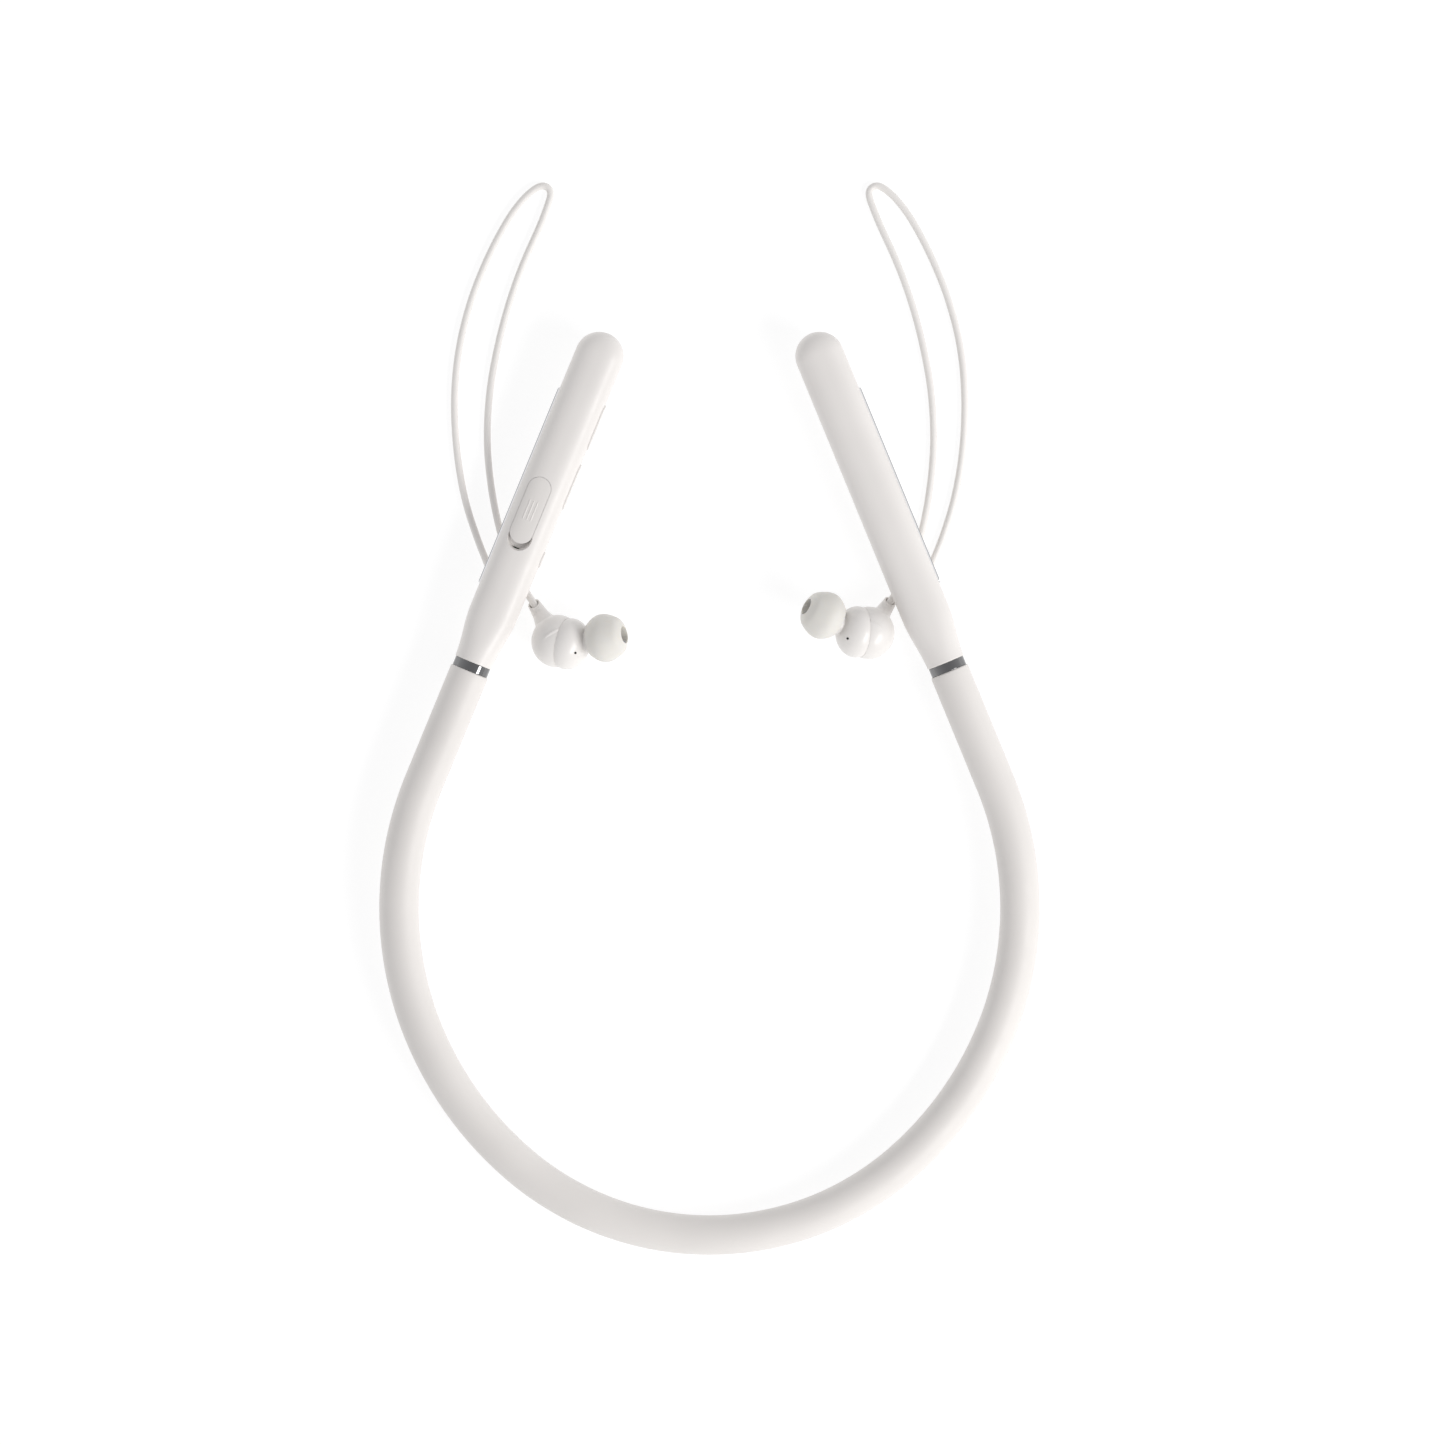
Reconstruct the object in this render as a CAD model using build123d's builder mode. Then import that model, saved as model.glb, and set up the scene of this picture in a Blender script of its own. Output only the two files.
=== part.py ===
"""Neckband earphones lying on a table, ear cables in two tall loops.

Frame: millimetres, +Z up, table at Z = 0, origin under the middle of the neckband and pods.
+X is the wearer's left-to-right axis, +Y runs from the back of the neckband to the pods' free ends.
The back of the neckband rests on the table and the pods lie on their cables, so the plane that holds
the neckband and the pods (neck_plane) slopes up by one degree. "side" is -1 for left and +1 for right.
"""
from build123d import *
import os
from math import cos, pi, radians, sin, sqrt, tan

os.makedirs("parts", exist_ok=True)

# ---- neckband ----
sleeve_diameter = 9.0
half_length = 105.0  # from the origin to the back of the neckband, and to the pods' free ends
lift_angle = 1.0  # slope of the neckband's plane, degrees
back_radius = 66.5
back_half_angle = 41.0  # the back arc turns this much on each side of the middle
side_radius = 79.5
side_angle = 26.4
front_radius = 74.8
front_angle = 45.0
front_run = 28.5  # straight run up to the ring
heading = back_half_angle + side_angle + front_angle - 90.0  # pods lean in by this angle
bore_diameter = 3.8
ball_radius = 4.45  # ball at each end of the back sleeve, on the arm's hinge
ball_bore_radius = 2.2  # wider than the bore, so that the wires can bend in it
socket_radius = 4.75  # hollow in the arm's sleeve, around the ball
memory_wire_diameter = 1.2
wire_bundle_diameter = 1.4
wire_spacing = 0.9  # each of the two lies this far from the sleeve's centreline

# ---- ring and joiner ----
ring_diameter = 8.4
ring_length = 2.1
joiner_diameter = 6.0
joiner_bore = 4.2
joiner_reach = 5.0  # length inside the sleeve, and inside the pod

# ---- pods: distances along the pod are measured from the middle of its ring ----
pod_neck_width = 8.8
pod_width = 11.1
pod_height = 9.4
pod_corner = 3.6
taper_length = 12.0
cap_centre = 76.3
wall = 1.1
end_wall = 2.0
fit_gap = 0.12

# ---- chrome strip on the outer wall ----
strip_start = 18.1
strip_end = 66.6
strip_height = 2.2
strip_proud = 0.35
strip_depth = 0.4

# ---- charging flap and socket, left pod ----
flap_start = 30.0
flap_length = 15.9
flap_width = 5.4
flap_thickness = 1.1
flap_offset = 1.0  # towards the outer wall
thumb_recess_radius = 3.0
thumb_recess_reach = 1.65  # past the flap's end
plug_length = 7.4
plug_width = 1.9
plug_depth = 1.4
socket_length = 9.0
socket_width = 3.2
socket_height = 5.6
socket_mouth_length = 8.3
socket_mouth_width = 2.6

# ---- buttons on the left pod's inner wall: start, end along the pod ----
button_spans = {"volume_up": (55.5, 66.5), "volume_down": (40.9, 52.0), "power": (26.6, 30.5)}
button_height = 3.2
button_proud = 0.4
button_flange = 0.45
switch_size = 3.0
switch_depth = 1.8
switch_top = 0.8
board_width = 6.6
board_thickness = 0.8
board_level = -2.2
board_start = 18.5
board_end = 69.5
microphone_place = 71.6

# ---- battery, right pod ----
battery_length = 44.0
battery_width = 7.6
battery_height = 5.6

# ---- ear cable ----
cable_diameter = 1.6
cable_level = cable_diameter / 2  # centre height of cable that lies on the table
grommet_length = 6.0
grommet_base_radius = 1.7
grommet_tip_radius = 1.25

# ---- earbud: the housing and the nozzle turn about two axes, which cross at the housing's centre ----
bud_centres = {-1: (-31.93, 34.04, 7.05), 1: (33.43, 36.74, 7.05)}
nozzle_turns = {-1: 9.0, 1: 153.5}  # heading of the nozzle from +X, degrees
nozzle_tilt = 21.0
housing_bend = 21.0  # between the nozzle's axis and the housing's axis
rear_middle = -3.0  # middle of the rear shell's ball, along the housing's axis
rear_radius = 6.0
rear_depth = 5.8  # half the ball's size along the housing's axis
waist_place = -1.3
front_radius_round = 5.62
front_depth = 4.4
bud_wall = 0.95
driver_radius = 4.55
driver_thickness = 3.0
driver_start = -2.5
magnet_radius = 2.4
magnet_start = -6.4
magnet_thickness = 1.3
vent_along = 2.0
vent_aside = -1.7
vent_radius = 0.28
nozzle_start = 2.2
nozzle_end = 10.2
nozzle_radius = 2.45
nozzle_bore_radius = 1.75
mesh_start = 9.7
mesh_thickness = 0.3

# ---- ear tip: distances along the nozzle's axis from the housing's centre ----
tip_middle = 9.06
tip_start = 5.5
tip_radius = 5.5
tip_depth = 5.0  # half the tip's ball, along the axis
tip_wall = 0.6
sound_hole_radius = 1.95
tip_bore_radius = 2.53
stem_radius = 3.0

# ---- boot ----
boot_cap_length = 3.1
boot_mouth_radius = 1.45
boot_bore_radius = 1.15
boot_bore_depth = 1.3
boot_groove_radius = 1.87
boot_root_radius = 3.5
cable_insert = 0.5

# cable routes, hand-laid centreline points from the grommet to the boot
left_route = [
    (-49.4, 49.17, 2.0),
    (-50.75, 52.5, 1.25),
    (-52.9, 57.8, cable_level),
    (-55.9, 66.8, cable_level),
    (-57.7, 77.4, cable_level),
    (-58.4, 89.0, cable_level),
    (-57.5, 100.6, cable_level),
    (-54.8, 111.9, cable_level),
    (-50.8, 122.0, cable_level),
    (-46.4, 130.4, cable_level),
    (-43.2, 134.9, cable_level),
    (-40.4, 137.6, cable_level),
    (-38.3, 138.75, cable_level),
    (-36.75, 138.25, cable_level),
    (-36.1, 136.75, cable_level),
    (-36.95, 134.0, cable_level),
    (-38.75, 129.2, cable_level),
    (-42.6, 120.9, cable_level),
    (-45.9, 111.6, cable_level),
    (-48.4, 102.0, cable_level),
    (-50.3, 91.6, cable_level),
    (-50.9, 80.0, cable_level),
    (-49.8, 68.8, cable_level),
    (-47.5, 58.2, cable_level),
    (-44.6, 50.1, cable_level),
    (-41.92, 46.22, 1.53),
    (-39.75, 42.75, 2.85),
]
right_route = [
    (49.4, 49.17, 2.0),
    (50.8, 52.6, 1.25),
    (53.0, 57.8, cable_level),
    (55.9, 66.8, cable_level),
    (57.8, 77.4, cable_level),
    (58.4, 89.0, cable_level),
    (57.6, 100.6, cable_level),
    (54.9, 111.9, cable_level),
    (50.9, 122.0, cable_level),
    (46.5, 130.4, cable_level),
    (43.3, 134.9, cable_level),
    (40.5, 137.6, cable_level),
    (38.4, 138.75, cable_level),
    (36.85, 138.25, cable_level),
    (36.2, 136.75, cable_level),
    (37.1, 134.0, cable_level),
    (39.05, 129.2, cable_level),
    (42.95, 120.9, cable_level),
    (46.3, 111.6, cable_level),
    (48.8, 102.0, cable_level),
    (50.7, 91.6, cable_level),
    (51.3, 80.0, cable_level),
    (50.3, 68.8, cable_level),
    (48.3, 58.6, cable_level),
    (45.9, 51.6, cable_level),
    (43.18, 46.68, 1.03),
    (40.94, 43.37, 2.64),
]

# ---- placed frames ----
lift = radians(lift_angle)
lean = radians(heading)
neck_plane = Plane(
    origin=(0, sleeve_diameter / 2 - half_length, sleeve_diameter / 2),
    x_dir=(1, 0, 0),
    z_dir=(0, -sin(lift), cos(lift)),
)
side_names = {-1: "left", 1: "right"}


def band_point(side, station):
    """A point of the sleeve's centreline on neck_plane.

    The stations are 0 the flex hinge, 1 the front arc's start, 2 the straight run's start and 3 the ring."""
    first = radians(back_half_angle)
    second = first + radians(side_angle)
    third = second + radians(front_angle)
    x = back_radius * sin(first)
    y = back_radius * (1 - cos(first))
    if station > 0:
        x += side_radius * (sin(second) - sin(first))
        y += side_radius * (cos(first) - cos(second))
    if station > 1:
        x += front_radius * (sin(third) - sin(second))
        y += front_radius * (cos(second) - cos(third))
    if station > 2:
        x += front_run * cos(third)
        y += front_run * sin(third)
    return (side * x, y)


def add_arm_edges(side):
    """The two arcs and the straight run from a flex hinge to its ring, for the line being drawn."""
    hinge_turn = radians(back_half_angle)
    front_turn = radians(back_half_angle + side_angle)
    JernArc(band_point(side, 0), (side * cos(hinge_turn), sin(hinge_turn)), side_radius, side * side_angle)
    JernArc(band_point(side, 1), (side * cos(front_turn), sin(front_turn)), front_radius, side * front_angle)
    Line(band_point(side, 2), band_point(side, 3))


def arm_line(side, plane):
    """The sleeve's centreline from the flex hinge to the ring, as a wire on a plane."""
    with BuildLine(plane) as line:
        add_arm_edges(side)
    return line.wire()


def whole_line(plane):
    """The centreline from ring to ring on a plane."""
    with BuildLine(plane) as line:
        CenterArc((0, back_radius), back_radius, -90 - back_half_angle, 2 * back_half_angle)
        for side in side_names:
            add_arm_edges(side)
    return line.wire()


def pod_frame(side):
    """Frame at the middle of a ring: X along the pod to its free end, Z up through the pod."""
    ring_centre = neck_plane.from_local_coords((*band_point(side, 3), 0))
    along = neck_plane.from_local_coords((-side * sin(lean), cos(lean), 0)) - neck_plane.origin
    return Plane(origin=ring_centre, x_dir=along, z_dir=neck_plane.z_dir)


def station(pod, distance):
    """Plane across a pod at a distance from its ring: X to the pod's Y, Y up."""
    return Plane(origin=pod.from_local_coords((distance, 0, 0)), x_dir=pod.y_dir, z_dir=pod.x_dir)


def tube_along(path, radius):
    """A round solid swept along a wire."""
    with BuildPart() as tube:
        with BuildSketch(Plane(origin=path @ 0, z_dir=path % 0)):
            Circle(radius)
        sweep(path=path)
    return tube.part


def rod(start, end, radius, end_radius=None):
    """A round or tapered solid between two points."""
    start, end = Vector(start), Vector(end)
    with BuildPart() as bar:
        with BuildSketch(Plane(origin=start, z_dir=end - start)):
            Circle(radius)
        with BuildSketch(Plane(origin=end, z_dir=end - start)):
            Circle(end_radius or radius)
        loft()
    return bar.part


def pod_form(pod, inset, start):
    """The pod's outer form, shrunk by inset all round, from a distance along the pod to its free end."""
    taper_start = ring_length / 2
    steps = 5
    with BuildPart() as form:
        for step in range(steps):
            distance = start + (taper_start + taper_length - start) * step / (steps - 1)
            share = (distance - taper_start) / taper_length
            smooth = share * share * (3 - 2 * share)
            width = pod_neck_width + (pod_width - pod_neck_width) * smooth
            height = pod_neck_width + (pod_height - pod_neck_width) * smooth
            corner = pod_neck_width / 2 - 0.06 + (pod_corner - pod_neck_width / 2 + 0.06) * smooth
            with BuildSketch(station(pod, distance)):
                RectangleRounded(width - 2 * inset, height - 2 * inset, corner - inset)
        loft()
        with BuildSketch(station(pod, taper_start + taper_length)):
            RectangleRounded(pod_width - 2 * inset, pod_height - 2 * inset, pod_corner - inset)
        extrude(amount=cap_centre - taper_start - taper_length)
        with BuildSketch(station(pod, cap_centre)):
            RectangleRounded(pod_width - 2 * inset, pod_height - 2 * inset, pod_corner - inset)
            with Locations((-pod_width / 2, 0)):
                Rectangle(pod_width, pod_height, mode=Mode.SUBTRACT)
        cap = Vector(*pod.from_local_coords((cap_centre, 0, 0)))
        revolve(axis=Axis(cap, pod.z_dir * -1), revolution_arc=180)
    return form.part


def wall_slot(pod, side, first, last, height, inner, outer):
    """A round-ended block through a side wall, between two distances out from the pod's middle plane.

    Distances along Y are signed: positive towards the outer wall, negative towards the inner wall."""
    low, high = sorted((inner, outer))
    middle = pod.from_local_coords(((first + last) / 2, -side * low, 0))
    outward = (pod.y_dir * -side).normalized()
    with BuildPart() as block:
        with BuildSketch(Plane(origin=middle, x_dir=pod.x_dir, z_dir=outward)):
            SlotOverall(last - first, height)
        extrude(amount=high - low)
    return block.part


def pod_box(pod, side, first, last, inner, outer, bottom, top):
    """A square-edged block in a pod: distances along it, out from its middle, and up."""
    centre = ((first + last) / 2, -side * (inner + outer) / 2, (bottom + top) / 2)
    with BuildPart() as block:
        with Locations(pod.location * Location(centre)):
            Box(last - first, abs(outer - inner), top - bottom)
    return block.part


def save(piece, name):
    """Label a finished piece and write it."""
    piece.part.label = name
    export_step(piece.part, f"parts/{name}.step")


# ---- neckband ----
with BuildLine(neck_plane) as back_line:
    CenterArc((0, back_radius), back_radius, -90 - back_half_angle, 2 * back_half_angle)
back_bore = tube_along(back_line.wire(), bore_diameter / 2)

with BuildPart() as back_sleeve:
    add(tube_along(back_line.wire(), sleeve_diameter / 2))
    for side in side_names:
        with Locations(neck_plane.from_local_coords((*band_point(side, 0), 0))):
            Sphere(ball_radius)
    add(back_bore, mode=Mode.SUBTRACT)
    for side in side_names:
        hinge = neck_plane.from_local_coords((*band_point(side, 0), 0))
        turn = radians(back_half_angle)
        onward = neck_plane.from_local_coords((side * cos(turn), sin(turn), 0)) - neck_plane.origin
        add(rod(hinge - onward, hinge + onward * sleeve_diameter, ball_bore_radius), mode=Mode.SUBTRACT)
save(back_sleeve, "band_sleeve_back")

with BuildPart() as memory_wire:
    add(tube_along(whole_line(neck_plane.offset(-wire_spacing)), memory_wire_diameter / 2))
save(memory_wire, "memory_wire")

with BuildPart() as wire_bundle:
    add(tube_along(whole_line(neck_plane.offset(wire_spacing)), wire_bundle_diameter / 2))
save(wire_bundle, "band_wire_bundle")


def make_arm(side):
    """An arm's sleeve, ring, joiner, shells and strip."""
    name = side_names[side]
    pod = pod_frame(side)
    hinge = neck_plane.from_local_coords((*band_point(side, 0), 0))
    centreline = arm_line(side, neck_plane)
    ring_back = pod.from_local_coords((-ring_length / 2, 0, 0))
    ring_front = pod.from_local_coords((ring_length / 2, 0, 0))
    joiner_back = pod.from_local_coords((-ring_length / 2 - joiner_reach, 0, 0))
    joiner_front = pod.from_local_coords((ring_length / 2 + joiner_reach, 0, 0))
    beyond = pod.from_local_coords((2 * joiner_reach, 0, 0))

    with BuildPart() as sleeve:
        add(tube_along(centreline, sleeve_diameter / 2))
        with Locations(hinge):
            Sphere(socket_radius, mode=Mode.SUBTRACT)
        add(tube_along(centreline, bore_diameter / 2), mode=Mode.SUBTRACT)
        add(rod(joiner_back, beyond, joiner_diameter / 2), mode=Mode.SUBTRACT)
        add(rod(ring_back, beyond, sleeve_diameter), mode=Mode.SUBTRACT)
    save(sleeve, f"band_sleeve_{name}")

    with BuildPart() as ring:
        add(rod(ring_back, ring_front, ring_diameter / 2))
        chamfer(ring.edges().filter_by(GeomType.CIRCLE), 0.15)
        add(rod(ring_back, ring_front, joiner_diameter / 2), mode=Mode.SUBTRACT)
    save(ring, f"chrome_ring_{name}")

    with BuildPart() as joiner:
        add(rod(joiner_back, joiner_front, joiner_diameter / 2))
        add(rod(joiner_back, joiner_front, joiner_bore / 2), mode=Mode.SUBTRACT)
    save(joiner, f"joiner_{name}")

    outer_form = pod_form(pod, 0, ring_length / 2)
    inner_form = pod_form(pod, wall, ring_length / 2 + end_wall)
    half_width = pod_width / 2
    strip_inner = half_width - strip_depth
    strip_outer = half_width + strip_proud
    strip_form = wall_slot(pod, side, strip_start, strip_end, strip_height, strip_inner, strip_outer)
    grommet_form = rod(grommet_base(side), grommet_tip(side), grommet_base_radius, grommet_tip_radius)

    with BuildPart() as upper:
        add(outer_form)
        split(bisect_by=pod, keep=Keep.TOP)
        add(inner_form, mode=Mode.SUBTRACT)
        add(rod(ring_front, joiner_front, joiner_diameter / 2), mode=Mode.SUBTRACT)
        add(strip_form, mode=Mode.SUBTRACT)
        if side < 0:
            flap_last = flap_start + flap_length
            seat_top = pod_height / 2 - wall + 0.1
            seat = pod_box(pod, side, flap_start - 1, flap_last + 1, -2.2, 3.6, 2.2, seat_top)
            add(seat)
            flap_floor = pod_height / 2 - flap_thickness - fit_gap
            add(flap_block(pod, side, fit_gap, flap_floor, 1), mode=Mode.SUBTRACT)
            add(thumb_recess(pod, side), mode=Mode.SUBTRACT)
            add(socket_block(pod, side, fit_gap, 0, pod_height), mode=Mode.SUBTRACT)
            for first, last in button_spans.values():
                add(button_hole(pod, side, first, last), mode=Mode.SUBTRACT)
    save(upper, f"pod_upper_{name}")

    with BuildPart() as lower:
        add(outer_form)
        split(bisect_by=pod, keep=Keep.BOTTOM)
        add(inner_form, mode=Mode.SUBTRACT)
        add(rod(ring_front, joiner_front, joiner_diameter / 2), mode=Mode.SUBTRACT)
        add(strip_form, mode=Mode.SUBTRACT)
        add(grommet_form, mode=Mode.SUBTRACT)
        if side < 0:
            for first, last in button_spans.values():
                add(button_hole(pod, side, first, last), mode=Mode.SUBTRACT)
            add(rod(*microphone_ends(pod, side, 2.0), 0.4), mode=Mode.SUBTRACT)
    save(lower, f"pod_lower_{name}")

    with BuildPart() as strip:
        add(strip_form)
    save(strip, f"side_strip_{name}")

    with BuildPart() as grommet:
        add(grommet_form)
        add(inner_form, mode=Mode.SUBTRACT)
    save(grommet, f"cable_grommet_{name}")


def grommet_tip(side):
    """The point where the cable leaves its grommet."""
    return Vector(*(left_route if side < 0 else right_route)[0])


def grommet_base(side):
    """The inner end of the grommet, back along the cable's first run."""
    route = left_route if side < 0 else right_route
    onward = (Vector(*route[1]) - Vector(*route[0])).normalized()
    return grommet_tip(side) - onward * grommet_length


def flap_block(pod, side, gap, bottom, rise):
    """The flap's round-ended outline from a level up to past the pod's top face."""
    centre = pod.from_local_coords((flap_start + flap_length / 2, -side * flap_offset, bottom))
    with BuildPart() as block:
        with BuildSketch(Plane(origin=centre, x_dir=pod.x_dir, z_dir=pod.z_dir)):
            SlotOverall(flap_length + 2 * gap, flap_width + 2 * gap)
        extrude(amount=pod_height / 2 + rise - bottom)
    return block.part


def thumb_recess(pod, side):
    """The crescent beside the flap's end, a sloping scoop."""
    middle = flap_start - thumb_recess_reach + thumb_recess_radius
    bottom = pod.from_local_coords((middle + 0.6, -side * flap_offset, pod_height / 2 - flap_thickness))
    top = pod.from_local_coords((middle, -side * flap_offset, pod_height / 2 + 0.5))
    return rod(bottom, top, thumb_recess_radius - 0.6, thumb_recess_radius + 0.2)


def socket_block(pod, side, gap, bottom, top):
    """The charging socket's outer outline between two levels."""
    centre = pod.from_local_coords((flap_start + flap_length / 2, -side * flap_offset, bottom))
    with BuildPart() as block:
        with BuildSketch(Plane(origin=centre, x_dir=pod.x_dir, z_dir=pod.z_dir)):
            SlotOverall(socket_length + 2 * gap, socket_width + 2 * gap)
        extrude(amount=top - bottom)
    return block.part


def button_hole(pod, side, first, last):
    """The opening in the inner wall for a button."""
    low = -pod_width / 2 - 1
    return wall_slot(pod, side, first - fit_gap, last + fit_gap, button_height + 2 * fit_gap, low, -3.0)


def microphone_ends(pod, side, reach):
    """The two ends of the microphone's sound hole through the lower inner wall."""
    inside = pod.from_local_coords((microphone_place, side * (pod_width / 2 - 2.2), -1.2))
    outside = pod.from_local_coords((microphone_place, side * (pod_width / 2 - 2.2 + reach * 2), -1.2))
    return inside, outside


def make_left_controls():
    """The charging socket, flap, board, switches, buttons and microphone of the left pod."""
    side = -1
    pod = pod_frame(side)
    middle = flap_start + flap_length / 2
    seat_level = pod_height / 2 - flap_thickness - fit_gap
    socket_top = seat_level - 0.05
    socket_bottom = socket_top - socket_height

    with BuildPart() as socket:
        add(socket_block(pod, side, 0, socket_bottom, socket_top))
        mouth_centre = pod.from_local_coords((middle, -side * flap_offset, socket_bottom + 0.6))
        with BuildSketch(Plane(origin=mouth_centre, x_dir=pod.x_dir, z_dir=pod.z_dir)):
            SlotOverall(socket_mouth_length, socket_mouth_width)
        extrude(amount=socket_height, mode=Mode.SUBTRACT)
        tongue = pod_box(pod, side, middle - 3, middle + 3, flap_offset - 0.35, flap_offset + 0.35,
                         socket_bottom + 0.5, socket_top - 2.0)
        add(tongue)
    save(socket, "usb_socket")

    with BuildPart() as flap:
        add(pod_form(pod, 0, ring_length / 2))
        add(flap_block(pod, side, 0, pod_height / 2 - flap_thickness, 1), mode=Mode.INTERSECT)
        plug_level = pod_height / 2 - flap_thickness - plug_depth
        plug_centre = pod.from_local_coords((middle, -side * flap_offset, plug_level))
        with BuildSketch(Plane(origin=plug_centre, x_dir=pod.x_dir, z_dir=pod.z_dir)):
            SlotOverall(plug_length, plug_width)
        extrude(amount=plug_depth + 0.2)
    save(flap, "usb_flap")

    inner_wall = pod_width / 2 - wall
    with BuildPart() as board:
        add(pod_box(pod, side, board_start, board_end, -board_width / 2, board_width / 2,
                    board_level - board_thickness, board_level))
    save(board, "control_board")

    with BuildPart() as switches:
        for first, last in button_spans.values():
            centre = (first + last) / 2
            half = min(switch_size, last - first) / 2
            inner, outer = -board_width / 2 + switch_depth, -board_width / 2
            add(pod_box(pod, side, centre - half, centre + half, inner, outer, board_level, switch_top))
    save(switches, "tact_switches")

    for label, (first, last) in button_spans.items():
        with BuildPart() as button:
            cap_outside, cap_inside = -pod_width / 2 - button_proud, -inner_wall + 0.35
            cap = wall_slot(pod, side, first, last, button_height, cap_outside, cap_inside)
            add(cap)
            fillet(button.faces().sort_by(Axis(pod.origin, pod.y_dir))[0].edges(), 0.25)
            flange = wall_slot(pod, side, first - 0.6, last + 0.6, button_height + 0.9,
                               -inner_wall + 0.35, -inner_wall + 0.35 + button_flange)
            add(flange)
        save(button, f"{label}_button")

    with BuildPart() as microphone:
        inside, outside = microphone_ends(pod, side, 2.0)
        inward = (inside - outside).normalized()
        add(rod(inside + inward * 0.2, inside + inward * 1.4, 1.4))
    save(microphone, "microphone")


def make_right_battery():
    """The battery and its protection board in the right pod."""
    side = 1
    pod = pod_frame(side)
    battery_start = 24.0
    with BuildPart() as battery:
        add(pod_box(pod, side, battery_start, battery_start + battery_length, -battery_width / 2, battery_width / 2,
                    -battery_height / 2, battery_height / 2))
        fillet(battery.edges().filter_by(Axis(pod.origin, pod.x_dir)), 1.2)
    save(battery, "battery")
    with BuildPart() as battery_board:
        add(pod_box(pod, side, battery_start + battery_length + 0.1, battery_start + battery_length + 1.1,
                    -3.0, 3.0, -2.4, 2.4))
    save(battery_board, "battery_board")


def corner_radii(route):
    """The largest tangent arc that each corner of a route allows, or the fold's own radius."""
    points = [Vector(*point) for point in route]
    radii = []
    for before, here, after in zip(points, points[1:], points[2:]):
        turn = (here - before).get_angle(after - here)
        shorter = min((here - before).length, (after - here).length)
        radii.append(0.45 * shorter / tan(radians(turn) / 2))
    return radii


def make_cable(side):
    """The ear cable, a plain tube of straight runs and tangent arcs."""
    name = side_names[side]
    route = left_route if side < 0 else right_route
    radii = corner_radii(route)
    with BuildPart() as cable:
        with BuildLine() as path:
            FilletPolyline(*route, radius=radii)
        centreline = path.wire()
        with BuildSketch(Plane(origin=centreline @ 0, z_dir=centreline % 0)):
            Circle(cable_diameter / 2)
        sweep(path=centreline)
    length = centreline.length
    ideal = pi * cable_diameter ** 2 / 4 * length
    print(f"cable_{name}: length {length:.1f} mm, volume {cable.part.volume:.1f} of {ideal:.1f} mm3, radii",
          " ".join(f"{radius:.1f}" for radius in radii))
    save(cable, f"cable_{name}")


def nozzle_frame(side):
    """Frame at the housing's centre: X along the nozzle, Z level."""
    turn = radians(nozzle_turns[side])
    tilt = radians(nozzle_tilt)
    nozzle = Vector(cos(turn) * cos(tilt), sin(turn) * cos(tilt), sin(tilt))
    across = Vector(-sin(turn), cos(turn), 0)
    return Plane(origin=bud_centres[side], x_dir=nozzle, z_dir=across)


def housing_frame(side):
    """Frame at the housing's centre: X along the housing's axis, bent away from the nozzle."""
    nozzle = nozzle_frame(side)
    bend = radians(housing_bend)
    axis = nozzle.x_dir * cos(bend) + nozzle.z_dir * (side * sin(bend))
    level = Vector(0, 0, 1).cross(axis).normalized()
    return Plane(origin=nozzle.origin, x_dir=axis, z_dir=level)


def ball_radius_at(place, middle, depth, radius):
    """Radius at a place along the axis of a flattened ball."""
    return radius * sqrt(1 - ((place - middle) / depth) ** 2)


def flattened_ball(frame, middle, depth, radius):
    """A ball with its own depth along a frame's X axis."""
    with BuildPart() as ball:
        with BuildSketch(frame):
            with Locations((middle, 0)):
                Ellipse(depth, radius)
                Rectangle(2 * depth, radius, align=(Align.CENTER, Align.MAX), mode=Mode.SUBTRACT)
        revolve(axis=Axis(frame.origin, frame.x_dir))
    return ball.part


def bud_rod(frame, first, last, radius):
    """A round solid on a frame's X axis."""
    return rod(frame.from_local_coords((first, 0, 0)), frame.from_local_coords((last, 0, 0)), radius)


def tip_outline():
    """Half of an ear tip's section: its round outside, the sound hole, the stem and the skirt's inside."""
    inner_radius = tip_radius - tip_wall
    inner_depth = tip_depth - tip_wall
    start_radius = ball_radius_at(tip_start, tip_middle, tip_depth, tip_radius)
    inner_start = ball_radius_at(tip_start, tip_middle, inner_depth, inner_radius)
    front = tip_middle + tip_depth * sqrt(1 - (sound_hole_radius / tip_radius) ** 2)
    web = tip_middle + inner_depth * sqrt(1 - (stem_radius / inner_radius) ** 2)
    seat = nozzle_end + 0.3
    step = 0.7
    Spline(
        (tip_start, start_radius),
        (tip_middle, tip_radius),
        (tip_middle + 0.6 * tip_depth, 0.8 * tip_radius),
        (front, sound_hole_radius),
        tangents=((1, 0.9), (0.35, -1)),
    )
    Polyline(
        (front, sound_hole_radius),
        (seat, sound_hole_radius),
        (seat, tip_bore_radius),
        (tip_start + step, tip_bore_radius),
        (tip_start + step, stem_radius),
        (web, stem_radius),
    )
    Spline(
        (web, stem_radius),
        (tip_middle + 0.6 * inner_depth, 0.8 * inner_radius),
        (tip_middle, inner_radius),
        (tip_start, inner_start),
        tangents=((-0.5, 1), (-1, -0.9)),
    )
    Line((tip_start, inner_start), (tip_start, start_radius))


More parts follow.
